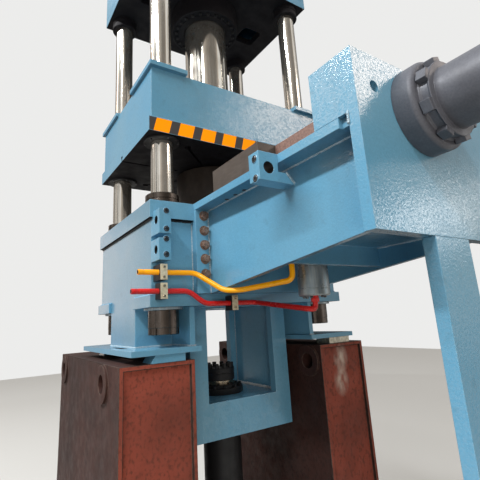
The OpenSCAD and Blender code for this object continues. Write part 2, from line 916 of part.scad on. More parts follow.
module bracket_table() {
    color(blue)
        translate([-bracket_w / 2, end_y + table_short, table_z])
            cube([bracket_w, -bed_dep / 2 - end_y - table_short, table_t]);
}

// The shelf between the webs, with the cross rib under it
module bracket_shelf() {
    inner = web_span - 2 * web_t;
    color(blue)
        difference() {
            union() {
                block(inner, bracket_reach, shelf_t, [0, flange_y - bracket_reach / 2, shelf_z]);
                block(inner, rib_t, rib_drop, [0, flange_y - rib_out, shelf_z - rib_drop]);
            }
            bar(side_rod_d, shelf_t + 2 * cut, [0, hung_y, shelf_z - cut]);
        }
}

module bracket_end_plate() {
    color(blue)
        difference() {
            union() {
                block(bracket_w, end_t, end_h, [0, end_y - end_t / 2, end_low_z]);
                block(bracket_w, end_box_dep, end_rise, [0, end_y + end_box_dep / 2, bed_z]);
            }
            bar_y(side_rod_d + 2 * free_gap, end_t + end_box_dep + 2 * cut,
                [-side_x, end_y + end_box_dep + cut, side_axis_z]);
            bar_y(eye_d, eye_dep + cut, [-eye_x, end_face_y + eye_dep, bed_z + eye_z]);
        }
}

module bracket_post() {
    color(blue)
        union() {
            difference() {
                block(post_w, post_dep, end_low_z - post_foot_t, [0, post_y, post_foot_t]);
                block(post_w - 2 * post_t, post_dep - 2 * post_t, end_low_z, [0, post_y, post_foot_t]);
            }
            block(post_foot_w, post_foot_dep, post_foot_t, [0, post_y, 0]);
        }
}

module side_cylinder() {
    ring_y = end_face_y - side_flange_l;
    barrel_y = ring_y - side_ring_l;
    color(black)
        difference() {
            union() {
                bar_y(side_flange_d, side_flange_l, [-side_x, end_face_y, side_axis_z]);
                bar_y(side_ring_d, side_ring_l, [-side_x, ring_y, side_axis_z]);
                bar_y(side_barrel_d, side_barrel_l, [-side_x, barrel_y, side_axis_z]);
            }
            bar_y(side_rod_d + 2 * run_gap, side_flange_l + cut, [-side_x, end_face_y + cut, side_axis_z]);
            bar_y(side_bore, -side_back_y + ring_y - inj_wall_t, [-side_x, ring_y, side_axis_z]);
        }
}

module guide_gibs() {
    gib_x = slide_w / 2 + slide_gap + gib_w / 2;
    color(steel)
        for (side = [-1, 1])
            block(gib_w, gib_l, slide_h, [side * gib_x, flange_y - gib_out - gib_l / 2, bed_z]);
}

// The cross slide with the rod that runs back into its cylinder
module cross_slide() {
    rod_l = slide_y - end_face_y + side_flange_l + slide_stroke + cut;
    color(steel)
        union() {
            translate([-slide_w / 2, slide_y, bed_z + slide_gap])
                cube([slide_w, slide_l, slide_h - slide_gap]);
            bar_y(side_rod_d, rod_l, [-side_x, slide_y, side_axis_z]);
        }
}

// The two bored blocks on the bed's corner and the bored lug on the table
module bored_blocks() {
    block_x = -bed_side_x + block_w / 2;
    top_z = plate_z + block_a_rise;
    low_z = top_z - block_a_h - block_gap - block_b_h;
    step = bed_set_y;
    color(blue) {
        difference() {
            union() {
                block(block_w, block_a_out, block_a_h - block_a_rise,
                    [block_x, -bed_front_y - block_a_out / 2, top_z - block_a_h]);
                block(block_w, block_a_out - step, block_a_h,
                    [block_x, -bed_front_y - step - (block_a_out - step) / 2, top_z - block_a_h]);
            }
            translate([block_x - block_w, -bed_front_y - block_a_out + block_bore_d, plate_z - step])
                rotate([0, 90, 0])
                    cylinder(h = 2 * block_w, d = block_bore_d);
        }
        difference() {
            block(block_w, block_b_out, block_b_h, [block_x, -bed_front_y - block_b_out / 2, low_z]);
            translate([block_x - block_w, -bed_front_y - block_b_out + block_bore_d, low_z + block_b_h / 2])
                rotate([0, 90, 0])
                    cylinder(h = 2 * block_w, d = block_bore_d);
        }
        table_lug();
    }
}

// The bored lug, with an arm that runs under the table to the web
module table_lug() {
    edge_x = -bracket_w / 2;
    low_z = bed_z - lug_h;
    shape = [
        [edge_x - lug_w, low_z],
        [-web_x, low_z],
        [-web_x, low_z + lug_tip_h],
        [edge_x + lug_arm_l, low_z + lug_arm_h],
        [edge_x, low_z + lug_arm_h],
        [edge_x, bed_z],
        [edge_x - lug_w, bed_z]
    ];
    difference() {
        translate([0, flange_y - lug_out, 0])
            rotate([90, 0, 0])
                linear_extrude(height = lug_l)
                    polygon(shape);
        bar_y(lug_bore_d, lug_l + 2 * cut, [edge_x - lug_w / 2, flange_y - lug_out + cut, bed_z - lug_bore_drop]);
    }
}

module hung_cylinder() {
    color(blue)
        difference() {
            bar(hung_d, hung_l, [0, hung_y, hung_z]);
            bar(hung_d - 2 * inj_wall_t, hung_l - 2 * inj_wall_t, [0, hung_y, hung_z + inj_wall_t]);
        }
}

// Unit vector, and the direction of a route at one of its points
function unit(v) = v / norm(v);
function tangent(p, i) = unit(p[min(i + 1, len(p) - 1)] - p[max(i - 1, 0)]);

// The route with each corner turned into a short curve
function rounded(p) = [
    p[0],
    for (i = [1:len(p) - 2])
        let (a = p[i] + unit(p[i - 1] - p[i]) * min(pipe_bend_r, norm(p[i - 1] - p[i]) * 0.45))
        let (b = p[i] + unit(p[i + 1] - p[i]) * min(pipe_bend_r, norm(p[i + 1] - p[i]) * 0.45))
        for (k = [0:pipe_bend_steps])
            let (t = k / pipe_bend_steps)
            a * (1 - t) * (1 - t) + p[i] * 2 * t * (1 - t) + b * t * t,
    p[len(p) - 1]
];

// Sideways vectors carried along the route without twist
function carried(side, t) = unit(side - t * (side * t));
function sides(p, i) = i == 0
    ? [carried([0, 0.3, 1], tangent(p, 0))]
    : let (done = sides(p, i - 1)) concat(done, [carried(done[i - 1], tangent(p, i))]);

// A round bar swept along a route
module swept(route, d) {
    p = rounded(route);
    u = sides(p, len(p) - 1);
    points = [
        for (i = [0:len(p) - 1])
            let (v = cross(tangent(p, i), u[i]))
            for (k = [0:pipe_fn - 1])
                p[i] + (u[i] * cos(360 * k / pipe_fn) + v * sin(360 * k / pipe_fn)) * d / 2
    ];
    walls = [
        for (i = [0:len(p) - 2])
            for (k = [0:pipe_fn - 1])
                [i * pipe_fn + k, (i + 1) * pipe_fn + k,
                    (i + 1) * pipe_fn + (k + 1) % pipe_fn, i * pipe_fn + (k + 1) % pipe_fn]
    ];
    first = [[for (k = [0:pipe_fn - 1]) k]];
    last = [[for (k = [pipe_fn - 1:-1:0]) (len(p) - 1) * pipe_fn + k]];
    polyhedron(points = points, faces = concat(walls, first, last));
}

module yellow_pipe() {
    color("gold")
        translate([0, 0, ledge_z])
            swept(yellow_route, pipe_d);
}

module red_pipe() {
    color("crimson")
        translate([0, 0, ledge_z])
            swept(red_route, pipe_d);
}

// Split clamps that hold the pipes on the front of the bed
module pipe_clamp(x, up, back_y) {
    front_y = pipe_y - pipe_d;
    difference() {
        block(clamp_w, back_y - front_y, clamp_h, [x, (back_y + front_y) / 2, ledge_z + up - clamp_h / 2]);
        translate([x - clamp_w, pipe_y, ledge_z + up])
            rotate([0, 90, 0])
                cylinder(h = 2 * clamp_w, d = pipe_d + 2 * clamp_gap);
    }
}

module pipe_clamps() {
    color(dark) {
        pipe_clamp(-(plate_w / 2 - clamp_left_in), yellow_up, -bed_front_y);
        pipe_clamp(-(plate_w / 2 - clamp_left_in), red_up, -bed_dep / 2);
        pipe_clamp(-clamp_mid_x, red_low_up, -bed_dep / 2);
    }
}

// A fabricated stand: two side plates with rings, set-in end plates and a top plate
module stand(dep, rings, x, front_y) {
    inner = stand_w - 2 * stand_t;
    color(primer)
        translate([x, front_y, 0])
            difference() {
                union() {
                    difference() {
                        translate([-stand_w / 2, 0, 0])
                            cube([stand_w, dep, stand_h]);
                        translate([-inner / 2, stand_end_set + stand_t, stand_t])
                            cube([inner, dep - 2 * (stand_end_set + stand_t), stand_h - 2 * stand_t]);
                        for (y = [-cut, dep - stand_end_set])
                            translate([-inner / 2, y, -cut])
                                cube([inner, stand_end_set + cut, stand_h - stand_t + cut]);
                    }
                    for (y = rings)
                        translate([-stand_w / 2 - ring_t, y, stand_h - ring_drop])
                            rotate([0, 90, 0])
                                cylinder(h = stand_w + 2 * ring_t, d = ring_d);
                }
                for (y = rings)
                    translate([-stand_w / 2 - ring_t - cut, y, stand_h - ring_drop])
                        rotate([0, 90, 0])
                            cylinder(h = stand_w + 2 * (ring_t + cut), d = ring_hole_d);
            }
}

module left_stand() {
    stand(stand_left_dep, [ring_left_front, stand_left_dep - ring_left_back],
        -stand_left_x - stand_w / 2, -stand_left_y);
}

module right_stand() {
    stand(stand_right_dep, [ring_end, stand_right_dep - ring_end],
        stand_right_x + stand_w / 2, -stand_right_y);
}

crown_bottom_plate();
crown_walls();
crown_top_plate();
main_cylinder();
main_ram();
column(corners[0]);  // column_front_left
column(corners[1]);  // column_front_right
column(corners[2]);  // column_back_left
column(corners[3]);  // column_back_right
column_top_nuts();
column_collars();
column_bottom_nuts();
platen_box();
platen_bottom_plate();
platen_covers();
platen_bushings();
bed_top_plate();
bed_side_wall(-1);  // bed_left_wall
bed_side_wall(1);  // bed_right_wall
bed_end_wall(-1);  // bed_front_wall
bed_end_wall(1);  // bed_back_wall
bed_bottom_plate();
foot_plates();
shim_plates();
frame_end_wall(-1);  // frame_front_wall
frame_end_wall(1);  // frame_back_wall
frame_side_walls();
frame_floor();
injection_cylinder();
injection_head();
die_block();
bracket_flange();
bracket_webs();
bracket_table();
bracket_shelf();
bracket_end_plate();
bracket_post();
side_cylinder();
guide_gibs();
cross_slide();
bored_blocks();
hung_cylinder();
yellow_pipe();
red_pipe();
pipe_clamps();
left_stand();
right_stand();
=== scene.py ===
import itertools
import json
import math

import bmesh
import bpy
from mathutils import Matrix, Vector


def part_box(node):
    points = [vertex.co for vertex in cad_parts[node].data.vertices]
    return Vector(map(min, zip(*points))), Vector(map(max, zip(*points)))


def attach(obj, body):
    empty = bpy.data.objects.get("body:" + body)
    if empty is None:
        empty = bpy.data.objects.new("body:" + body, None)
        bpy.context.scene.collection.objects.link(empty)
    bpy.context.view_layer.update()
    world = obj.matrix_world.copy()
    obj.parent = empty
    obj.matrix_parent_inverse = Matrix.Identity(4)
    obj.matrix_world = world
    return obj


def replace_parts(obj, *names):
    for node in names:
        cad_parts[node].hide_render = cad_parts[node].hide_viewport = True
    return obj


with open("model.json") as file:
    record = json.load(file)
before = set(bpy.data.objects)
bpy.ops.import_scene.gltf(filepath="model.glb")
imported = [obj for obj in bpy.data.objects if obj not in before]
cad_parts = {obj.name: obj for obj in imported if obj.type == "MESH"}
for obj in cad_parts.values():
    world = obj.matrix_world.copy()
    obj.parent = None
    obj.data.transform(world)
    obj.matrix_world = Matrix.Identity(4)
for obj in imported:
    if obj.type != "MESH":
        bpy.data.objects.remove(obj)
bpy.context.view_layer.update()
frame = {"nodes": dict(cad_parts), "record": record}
mm = 0.001
print("frame loaded:", len(frame["nodes"]), "nodes")


# Camera, at the place and angle of the photograph
view = {
    "place": (-1.2689, -2.1896, 1.6),
    "azimuth": -33.36,
    "elevation": -13.74,
    "roll": -3.25,
    "lens": 29.14,
    "sensor": 36,
    "shift": (0.01133, -0.03496),
    "clip": (0.05, 100),
}


def makeCamera():
    a, e, r = (math.radians(view[k]) for k in ("azimuth", "elevation", "roll"))
    back = Vector((math.sin(a) * math.cos(e), -math.cos(a) * math.cos(e), math.sin(e)))
    right = (-back).cross(Vector((0, 0, 1))).normalized()
    up = right.cross(-back)
    side = right * math.cos(r) + up * math.sin(r)
    top = up * math.cos(r) - right * math.sin(r)
    camera = bpy.data.objects.new("camera", bpy.data.cameras.new("camera"))
    bpy.context.scene.collection.objects.link(camera)
    turn = Matrix((side, top, back)).transposed()
    camera.matrix_world = Matrix.Translation(view["place"]) @ turn.to_4x4()
    camera.data.sensor_width = view["sensor"]
    camera.data.lens = view["lens"]
    camera.data.shift_x, camera.data.shift_y = view["shift"]
    camera.data.clip_start, camera.data.clip_end = view["clip"]
    bpy.context.scene.camera = camera


makeCamera()
print("camera placed")


# Node trees, for materials and for geometry alike
class Bench:
    def __init__(self, tree):
        self.tree = tree

    def node(self, kind, outlet, feeds, **settings):
        made = self.tree.nodes.new(kind)
        for key, value in settings.items():
            setattr(made, key, value)
        for socket, value in feeds.items():
            self.feed(made.inputs[socket], value)
        if isinstance(outlet, tuple):
            return [made.outputs[each] for each in outlet]
        return made.outputs[outlet]

    def feed(self, socket, value):
        if isinstance(value, bpy.types.NodeSocket):
            self.tree.links.new(value, socket)
        else:
            socket.default_value = value

    def reckon(self, operation, a, b):
        return self.node("ShaderNodeMath", 0, {0: a, 1: b}, operation=operation)

    def times(self, a, b):
        return self.reckon("MULTIPLY", a, b)


def tone(red, green, blue):  # an sRGB colour, 0 to 255, as a linear one
    shares = [v / 255 for v in (red, green, blue)]
    linear = [v / 12.92 if v < 0.0405 else ((v + 0.055) / 1.055) ** 2.4 for v in shares]
    return (*linear, 1)


class Finish(Bench):
    def __init__(self, name):
        self.material = bpy.data.materials.new(name)
        self.material.use_nodes = True
        super().__init__(self.material.node_tree)
        self.shader = self.tree.nodes["Principled BSDF"]
        self.place = self.node("ShaderNodeTexCoord", "Object", {})

    def noise(self, scale, detail=2, stretch=(1, 1, 1), shift=0):
        feeds = {"Vector": self.place, "Scale": stretch, "Location": [shift] * 3}
        place = self.node("ShaderNodeMapping", 0, feeds)
        return self.node("ShaderNodeTexNoise", 0, {"Vector": place, "Scale": scale, "Detail": detail})

    def ramp(self, value, low, high, toLow=0, toHigh=1):
        feeds = {0: value, 1: low, 2: high, 3: toLow, 4: toHigh}
        return self.node("ShaderNodeMapRange", 0, feeds)

    def mix(self, share, a, b):
        return self.node("ShaderNodeMix", 2, {0: share, 6: a, 7: b}, data_type="RGBA")

    def edges(self, reach):  # 1 along the outer edges, 0 on flat faces
        soft = self.node("ShaderNodeBevel", 0, {"Radius": reach}, samples=4)
        hard = self.node("ShaderNodeNewGeometry", "Normal", {})
        same = self.node("ShaderNodeVectorMath", "Value", {0: soft, 1: hard}, operation="DOT_PRODUCT")
        return self.ramp(same, 0.995, 0.86)

    def bump(self, height, distance, strength=1.0, under=None):
        feeds = {"Height": height, "Distance": distance, "Strength": strength}
        if under is not None:
            feeds["Normal"] = under
        return self.node("ShaderNodeBump", 0, feeds)

    def set(self, **values):
        for name, value in values.items():
            self.feed(self.shader.inputs[name.replace("_", " ")], value)
        return self.material


# Paints, with their colours in sRGB
paintBase = {
    "bare": (160, 182, 192), "grime": 0.14, "wear": 0.6, "peel": 0.0010, "rough": (0.10, 0.18), "grain": 130,
    "paintedGlow": 0.0,
}
paints = {
    "blueEnamel": {"colour": (102, 163, 196), "faded": (112, 167, 195), "dirt": (76, 98, 110)},
    # a greyer blue for the bed's sides: painted reflection of the windows' glare and painted shade
    "hazedEnamel": {
        "colour": (104, 150, 176), "faded": (116, 154, 174), "dirt": (80, 92, 100), "peel": 0.0012,
        "rough": (0.12, 0.20),
    },
    # the yellow glows a little by paintedGlow: painted light that keeps the pipe bright in shade
    "yellowPaint": {
        "colour": (255, 176, 0), "faded": (255, 164, 0), "dirt": (120, 84, 30), "bare": (120, 100, 60),
        "paintedGlow": 0.14, "grime": 0.16, "wear": 0.5, "peel": 0.0002, "rough": (0.25, 0.38), "grain": 260,
    },
    "redPaint": {
        "colour": (226, 38, 34), "faded": (206, 34, 34), "dirt": (84, 26, 24), "bare": (110, 70, 66),
        "grime": 0.25, "wear": 0.5, "peel": 0.0002, "rough": (0.25, 0.38), "grain": 260,
    },
}


def paintedSteel(name, look):
    made = Finish(name)
    main, faded, dirt, bare = (tone(*look[key]) for key in ("colour", "faded", "dirt", "bare"))
    colour = made.mix(made.ramp(made.noise(1.7, 3), 0.38, 0.62), main, faded)
    runs = made.ramp(made.noise(7, 4, (1, 1, 0.14), 3), 0.56, 0.78, 0, look["grime"])
    colour = made.mix(runs, colour, dirt)
    smears = made.ramp(made.noise(23, 5, shift=8), 0.60, 0.72, 0, look["grime"])
    colour = made.mix(smears, colour, dirt)
    scuffs = made.ramp(made.noise(60, 4, shift=5), 0.40, 0.62, 0, look["wear"])
    colour = made.mix(made.times(made.edges(0.004), scuffs), colour, bare)
    waves = made.bump(made.noise(12, 2, shift=9), 0.003, 0.25)
    normal = made.bump(made.noise(look["grain"], 4), look["peel"], 0.8, waves)
    rough = made.ramp(made.noise(5, 4, shift=2), 0.35, 0.65, *look["rough"])
    glint = made.ramp(made.noise(look["grain"] * 0.86, 3, shift=4), 0.38, 0.62, 0.20, 0.86)
    # paintedGlow makes a paint glow in its own colour: painted light
    return made.set(Base_Color=colour, Roughness=rough, Normal=normal, Specular_IOR_Level=glint,
                    Emission_Color=main, Emission_Strength=look["paintedGlow"])


# Bare and blackened metals and weld beads, some of them also laid on as painted shade: the tones are main,
# streak and stain
metalBase = {"stained": 0.6, "grain": 160, "stretch": (1, 1, 1), "bump": 0.0002, "metal": 0.0, "gloss": 0.5}
metals = {
    "chromeSteel": {
        "tones": ((232, 228, 219), (220, 215, 206), (160, 150, 136)), "stained": 0.3, "rough": (0.08, 0.13),
        "grain": 90, "stretch": (1, 1, 0.03), "bump": 0.00003, "metal": 0.9,
    },
    "darkSteel": {
        "tones": ((112, 104, 98), (100, 92, 86), (66, 58, 52)), "stained": 0.4, "rough": (0.20, 0.30),
        "grain": 50, "stretch": (1, 1, 0.08), "bump": 0.00003, "metal": 1.0,
    },
    "dieSteel": {
        "tones": ((54, 47, 42), (44, 38, 34), (30, 25, 22)), "stained": 0.7, "rough": (0.36, 0.55),
        "grain": 40, "stretch": (1, 1, 0.6), "metal": 0.3,
    },
    "slideSteel": {
        "tones": ((152, 118, 106), (120, 92, 82), (92, 68, 60)), "stained": 0.8, "rough": (0.42, 0.60),
        "grain": 120, "bump": 0.0004, "metal": 0.2,
    },
    "gibSteel": {
        "tones": ((92, 84, 78), (84, 76, 70), (66, 58, 52)), "stained": 0.5, "rough": (0.40, 0.56),
        "grain": 120, "stretch": (1, 0.2, 1), "bump": 0.0001, "metal": 0.3,
    },
    "machinedSteel": {
        "tones": ((96, 92, 88), (72, 68, 64), (46, 40, 34)), "stained": 0.8, "rough": (0.30, 0.50),
        "stretch": (0.05, 1, 1), "bump": 0.0001, "metal": 0.8,
    },
    # black steel, also laid in bores, slots, holes, wells and gaps as painted shade
    "blackSteel": {"tones": ((24, 24, 26), (18, 18, 20), (10, 10, 10)), "rough": (0.50, 0.66), "grain": 150},
    "greySteel": {
        "tones": ((98, 100, 108), (88, 90, 98), (60, 60, 66)), "stained": 0.4, "rough": (0.40, 0.55),
        "grain": 150, "metal": 0.1,
    },
    "boltSteel": {
        "tones": ((164, 134, 116), (104, 80, 68), (46, 34, 30)), "stained": 0.5, "rough": (0.20, 0.38),
        "grain": 200, "metal": 0.3,
    },
    # near-black steel: partly oiled bare steel, partly painted shade under things and in gaps
    "undersideSteel": {
        "tones": ((22, 20, 24), (18, 17, 20), (12, 10, 12)), "rough": (0.60, 0.80), "stretch": (0.05, 1, 1),
        "bump": 0.0001, "gloss": 0.2,
    },
    "hungSteel": {
        "tones": ((184, 190, 190), (150, 166, 174), (96, 108, 114)), "stained": 0.4, "rough": (0.24, 0.40),
        "grain": 120, "stretch": (1, 1, 0.1), "bump": 0.0001, "metal": 0.6,
    },
    "screwSteel": {
        "tones": ((120, 122, 124), (84, 86, 88), (40, 38, 36)), "stained": 0.7, "rough": (0.24, 0.42),
        "grain": 200, "bump": 0.0001, "metal": 1.0,
    },
    "zincPlate": {
        "tones": ((208, 202, 186), (168, 164, 148), (96, 90, 74)), "stained": 0.8, "rough": (0.34, 0.56),
        "grain": 70, "bump": 0.0003, "metal": 0.7,
    },
    "creamPlate": {
        "tones": ((232, 222, 192), (210, 200, 172), (140, 128, 104)), "stained": 0.5, "rough": (0.36, 0.52),
        "grain": 90, "metal": 0.2,
    },
    "paintedBead": {
        "tones": ((118, 170, 198), (100, 156, 188), (84, 132, 160)), "rough": (0.24, 0.40), "bump": 0.0003,
    },
    "brightBead": {
        "tones": ((244, 246, 246), (206, 212, 214), (120, 128, 132)), "stained": 0.4, "rough": (0.40, 0.60),
        "grain": 200, "bump": 0.0004,
    },
    "weldBead": {
        "tones": ((190, 205, 212), (120, 160, 182), (90, 116, 130)), "stained": 0.7, "rough": (0.34, 0.50),
        "bump": 0.0003, "metal": 0.3,
    },
    "bandSteel": {
        "tones": ((196, 182, 160), (150, 138, 120), (86, 72, 58)), "rough": (0.20, 0.36), "grain": 120,
        "stretch": (1, 1, 0.1), "bump": 0.0001, "metal": 1.0,
    },
}


def bareMetal(name, look):
    made = Finish(name)
    main, streak, stain = (tone(*each) for each in look["tones"])
    grain = made.noise(look["grain"], 3, look["stretch"])
    colour = made.mix(made.ramp(grain, 0.35, 0.65), main, streak)
    stains = made.ramp(made.noise(9, 4, (1, 1, 0.6), 6), 0.52, 0.74, 0, look["stained"])
    colour = made.mix(stains, colour, stain)
    # painted sheen: the edges lighter, in the main tone
    colour = made.mix(made.times(made.edges(0.003), 0.5), colour, main)
    rough = made.ramp(made.noise(14, 4, shift=4), 0.35, 0.65, *look["rough"])
    return made.set(Base_Color=colour, Metallic=look["metal"], Roughness=rough,
                    Normal=made.bump(grain, look["bump"], 0.6), Specular_IOR_Level=look["gloss"])


# Red-brown primer of the stands, with rust, oil runs and sanded patches
primers = {
    "redPrimer": {
        "colour": (158, 80, 64), "dark": (124, 66, 54), "rust": (92, 54, 45), "sanded": (222, 206, 192),
        "edge": (132, 120, 108), "patches": [(0.585, -0.449, 1.335), (0.572, -0.449, 1.21)], "reach": 0.085,
    },
    # a darker copy of the primer that paints the shade on the stands' sides, holes and small faces
    "darkPrimer": {
        "colour": (68, 43, 38), "dark": (52, 35, 32), "rust": (36, 26, 24), "sanded": (110, 96, 90),
        "edge": (110, 98, 88), "patches": [], "reach": 0.10,
    },
}


def primedSteel(name, look):
    made = Finish(name)
    colours = {key: tone(*look[key]) for key in ("colour", "dark", "rust", "sanded", "edge")}
    colour = made.mix(made.ramp(made.noise(3.2, 5), 0.36, 0.64), colours["colour"], colours["dark"])
    rust = made.ramp(made.noise(70, 6, (1, 1, 0.7), 7), 0.50, 0.68, 0, 0.7)
    colour = made.mix(rust, colour, colours["rust"])
    brushed = made.ramp(made.noise(26, 5, (1, 1, 0.6), 1), 0.34, 0.60, 0.15, 1)
    for patch in look["patches"]:
        offset = made.node("ShaderNodeVectorMath", 0, {0: made.place, 1: patch}, operation="SUBTRACT")
        feeds = {0: offset, 1: (1.3, 1.0, 0.9)}
        squeezed = made.node("ShaderNodeVectorMath", 0, feeds, operation="MULTIPLY")
        away = made.node("ShaderNodeVectorMath", "Value", {0: squeezed}, operation="LENGTH")
        sanded = made.times(made.ramp(away, look["reach"], 0.01, 0, 0.95), brushed)
        colour = made.mix(sanded, colour, colours["sanded"])
    scuffs = made.ramp(made.noise(40, 4, shift=5), 0.35, 0.55, 0.2, 0.9)
    colour = made.mix(made.times(made.edges(0.006), scuffs), colour, colours["edge"])
    rough = made.ramp(made.noise(18, 4, shift=2), 0.35, 0.65, 0.62, 0.85)
    normal = made.bump(made.noise(130, 5), 0.0008, 0.7)
    return made.set(Base_Color=colour, Roughness=rough, Normal=normal, Specular_IOR_Level=0.3)


stripePaints = {  # paintedGlow is painted light: the orange glows a little in its own colour, so it stays bright in shade
    "stripeOrange": {"colour": (255, 152, 0), "dirt": (120, 96, 70), "paintedGlow": 0.35},
    "stripeGrey": {"colour": (78, 76, 76), "dirt": (120, 96, 70), "paintedGlow": 0.0},
}


def stripePaint(name, look):
    made = Finish(name)
    main = tone(*look["colour"])
    colour = made.mix(made.ramp(made.noise(30, 5), 0.55, 0.8, 0, 0.15), main, tone(*look["dirt"]))
    rough = made.ramp(made.noise(12, 3), 0.35, 0.65, 0.6, 0.75)
    return made.set(Base_Color=colour, Roughness=rough, Normal=made.bump(made.noise(150, 3), 0.0003, 0.5),
                    Emission_Color=main, Emission_Strength=look["paintedGlow"], Specular_IOR_Level=0.1)


finishes = {name: paintedSteel(name, {**paintBase, **look}) for name, look in paints.items()}
finishes.update({name: bareMetal(name, {**metalBase, **look}) for name, look in metals.items()})
finishes.update({name: primedSteel(name, look) for name, look in primers.items()})
finishes.update({name: stripePaint(name, look) for name, look in stripePaints.items()})
print("finishes mixed:", len(finishes))


# A mesh as a finished piece on its body
def placePiece(name, mesh, finish, body="press_frame", stands=(), smooth=35):
    mesh.materials.clear()
    for each in [finish] if isinstance(finish, str) else finish:
        mesh.materials.append(finishes[each])
    if not mesh.has_custom_normals:  # a rounded mesh already has its own
        mesh.shade_smooth()
        mesh.set_sharp_from_angle(angle=math.radians(smooth))
    piece = bpy.data.objects.new(name, mesh)
    bpy.context.scene.collection.objects.link(piece)
    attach(piece, body)
    if stands:
        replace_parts(piece, *stands)
    return piece


def standIn(node, mesh, finish, body="press_frame", smooth=35):  # a piece in the place of a CAD node
    placePiece(node + "_piece", mesh, finish, body, [node], smooth)


def evaluated(worker):  # the mesh that an object's modifiers make, with the object removed
    bpy.context.view_layer.update()
    graph = bpy.context.evaluated_depsgraph_get()
    mesh = bpy.data.meshes.new_from_object(worker.evaluated_get(graph), depsgraph=graph)
    bpy.data.objects.remove(worker)
    return mesh


def rounded(mesh, width, turn=40, segments=2):  # soft edges, with the flat faces still shaded flat
    mesh.shade_smooth()
    worker = bpy.data.objects.new("worker", mesh)
    bpy.context.scene.collection.objects.link(worker)
    edge = worker.modifiers.new("edge", "BEVEL")
    edge.width = width * mm
    edge.segments = segments
    edge.limit_method = "ANGLE"
    edge.angle_limit = math.radians(turn)
    worker.modifiers.new("shade", "WEIGHTED_NORMAL").weight = 100
    return evaluated(worker)


def recoat(mesh, chosen):  # the last finish of the mesh on the faces that a test picks
    for face in mesh.polygons:
        if chosen(face):
            face.material_index = len(mesh.materials) - 1


def closeMesh(work, name):
    bmesh.ops.remove_doubles(work, verts=work.verts, dist=0.00001)
    bmesh.ops.recalc_face_normals(work, faces=work.faces)
    mesh = bpy.data.meshes.new(name)
    work.to_mesh(mesh)
    work.free()
    return mesh


# Forms, in mm
def block(work, low, high, turn=None):
    corners = [Vector(corner) for corner in itertools.product(*zip(low, high))]
    verts = [work.verts.new((turn @ p if turn else p) * mm) for p in corners]
    for face in ((0, 1, 3, 2), (4, 6, 7, 5), (0, 4, 5, 1), (2, 3, 7, 6), (0, 2, 6, 4), (1, 5, 7, 3)):
        work.faces.new([verts[k] for k in face])


def prism(work, outline, front, back):  # an outline of (x, z), drawn out along Y
    near, far = ([work.verts.new(Vector((x, y, z)) * mm) for x, z in outline] for y in (front, back))
    work.faces.new(near)
    work.faces.new(far[::-1])
    for k in range(len(outline)):
        n = (k + 1) % len(outline)
        work.faces.new([near[k], far[k], far[n], near[n]])


def skin(work, rings):  # faces between rings of equally many points
    for a, b in zip(rings, rings[1:]):
        for k in range(len(a)):
            n = (k + 1) % len(a)
            work.faces.new([a[k], a[n], b[n], b[k]])


def turned(work, outline, place=(0, 0, 0), axis=(0, 0, 1), sides=72, loop=False):
    # an outline of (radius, height) swept round an axis
    turn = Vector((0, 0, 1)).rotation_difference(Vector(axis)).to_matrix()
    rings = []
    for radius, height in outline:
        ring = []
        for k in range(sides if radius > 0 else 1):
            angle = 2 * math.pi * k / sides
            point = Vector((radius * math.cos(angle), radius * math.sin(angle), height))
            ring.append(work.verts.new((Vector(place) + turn @ point) * mm))
        rings.append(ring)
    for a, b in zip(rings, rings[1:] + rings[:1] if loop else rings[1:]):
        for k in range(sides):
            verts = [a[k % len(a)], a[(k + 1) % len(a)], b[(k + 1) % len(b)], b[k % len(b)]]
            verts = list(dict.fromkeys(verts))
            if len(verts) > 2:
                work.faces.new(verts)


def lowEdge(radius, height, cut):  # a cut outer edge at the lower end of a turned form
    return [(radius - cut, height), (radius, height + cut)]


def highEdge(radius, height, cut):
    return [(radius, height - cut), (radius - cut, height)]


def groove(radius, height, width, depth, slope):  # sunk round a turned form; a negative depth is a band
    return [(radius, height), (radius - depth, height + slope),
            (radius - depth, height + width - slope), (radius, height + width)]


def quarter(radius, height, reach, steps=5):  # a rounded shoulder that ends at (radius - reach, height)
    angles = [math.pi / 2 * k / steps for k in range(steps + 1)]
    return [(radius - reach + reach * math.cos(a), height - reach + reach * math.sin(a)) for a in angles]


# Places, from the frame
def bodyOf(node):
    for body, members in frame["record"]["behaviour"]["bodies"].items():
        if node in members:
            return body


def heights(node):  # a node's lowest and highest Z in mm
    low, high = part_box(node)
    return low.z * 1000, high.z * 1000


def middle(node):
    low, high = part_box(node)
    return (low + high) * 500


columnSpots = [(x, y) for x in (-505, 505) for y in (-350, 350)]
crownLow, crownTop = heights("crown_bottom_plate")[0], heights("crown_top_plate")[1]
plateLow, bedTop = heights("bed_top_plate")
wallLow = heights("bed_front_wall")[0]
ledge = heights("bed_bottom_plate")[0]
floorTop = heights("frame_floor")[1]


# Plates and blocks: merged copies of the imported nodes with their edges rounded
plates = {
    "blueEnamel": {
        "slot": "blue_paint",
        "edge": 2.2,
        "nodes": ["crown_walls", "crown_top_plate", "platen_box", "platen_covers", "bed_left_wall",
                  "bed_right_wall", "bed_front_wall", "bed_back_wall", "bed_bottom_plate", "foot_plates",
                  "frame_front_wall", "frame_back_wall", "frame_side_walls", "frame_floor", "bracket_flange",
                  "bracket_webs", "bracket_table", "bracket_shelf", "bracket_end_plate", "bracket_post",
                  "bored_blocks"],
    },
    "redPrimer": {"slot": "red_primer", "edge": 2.5, "nodes": ["left_stand", "right_stand"]},
    "gibSteel": {"slot": "ground_steel", "edge": 2.0, "nodes": ["guide_gibs"]},
    "slideSteel": {"slot": "ground_steel", "edge": 2.0, "nodes": ["cross_slide"]},
    "dieSteel": {"slot": "oiled_steel", "edge": 4.0, "nodes": ["die_block"]},
    "blackSteel": {"slot": "black_steel", "edge": 1.5, "nodes": ["pipe_clamps"]},
}
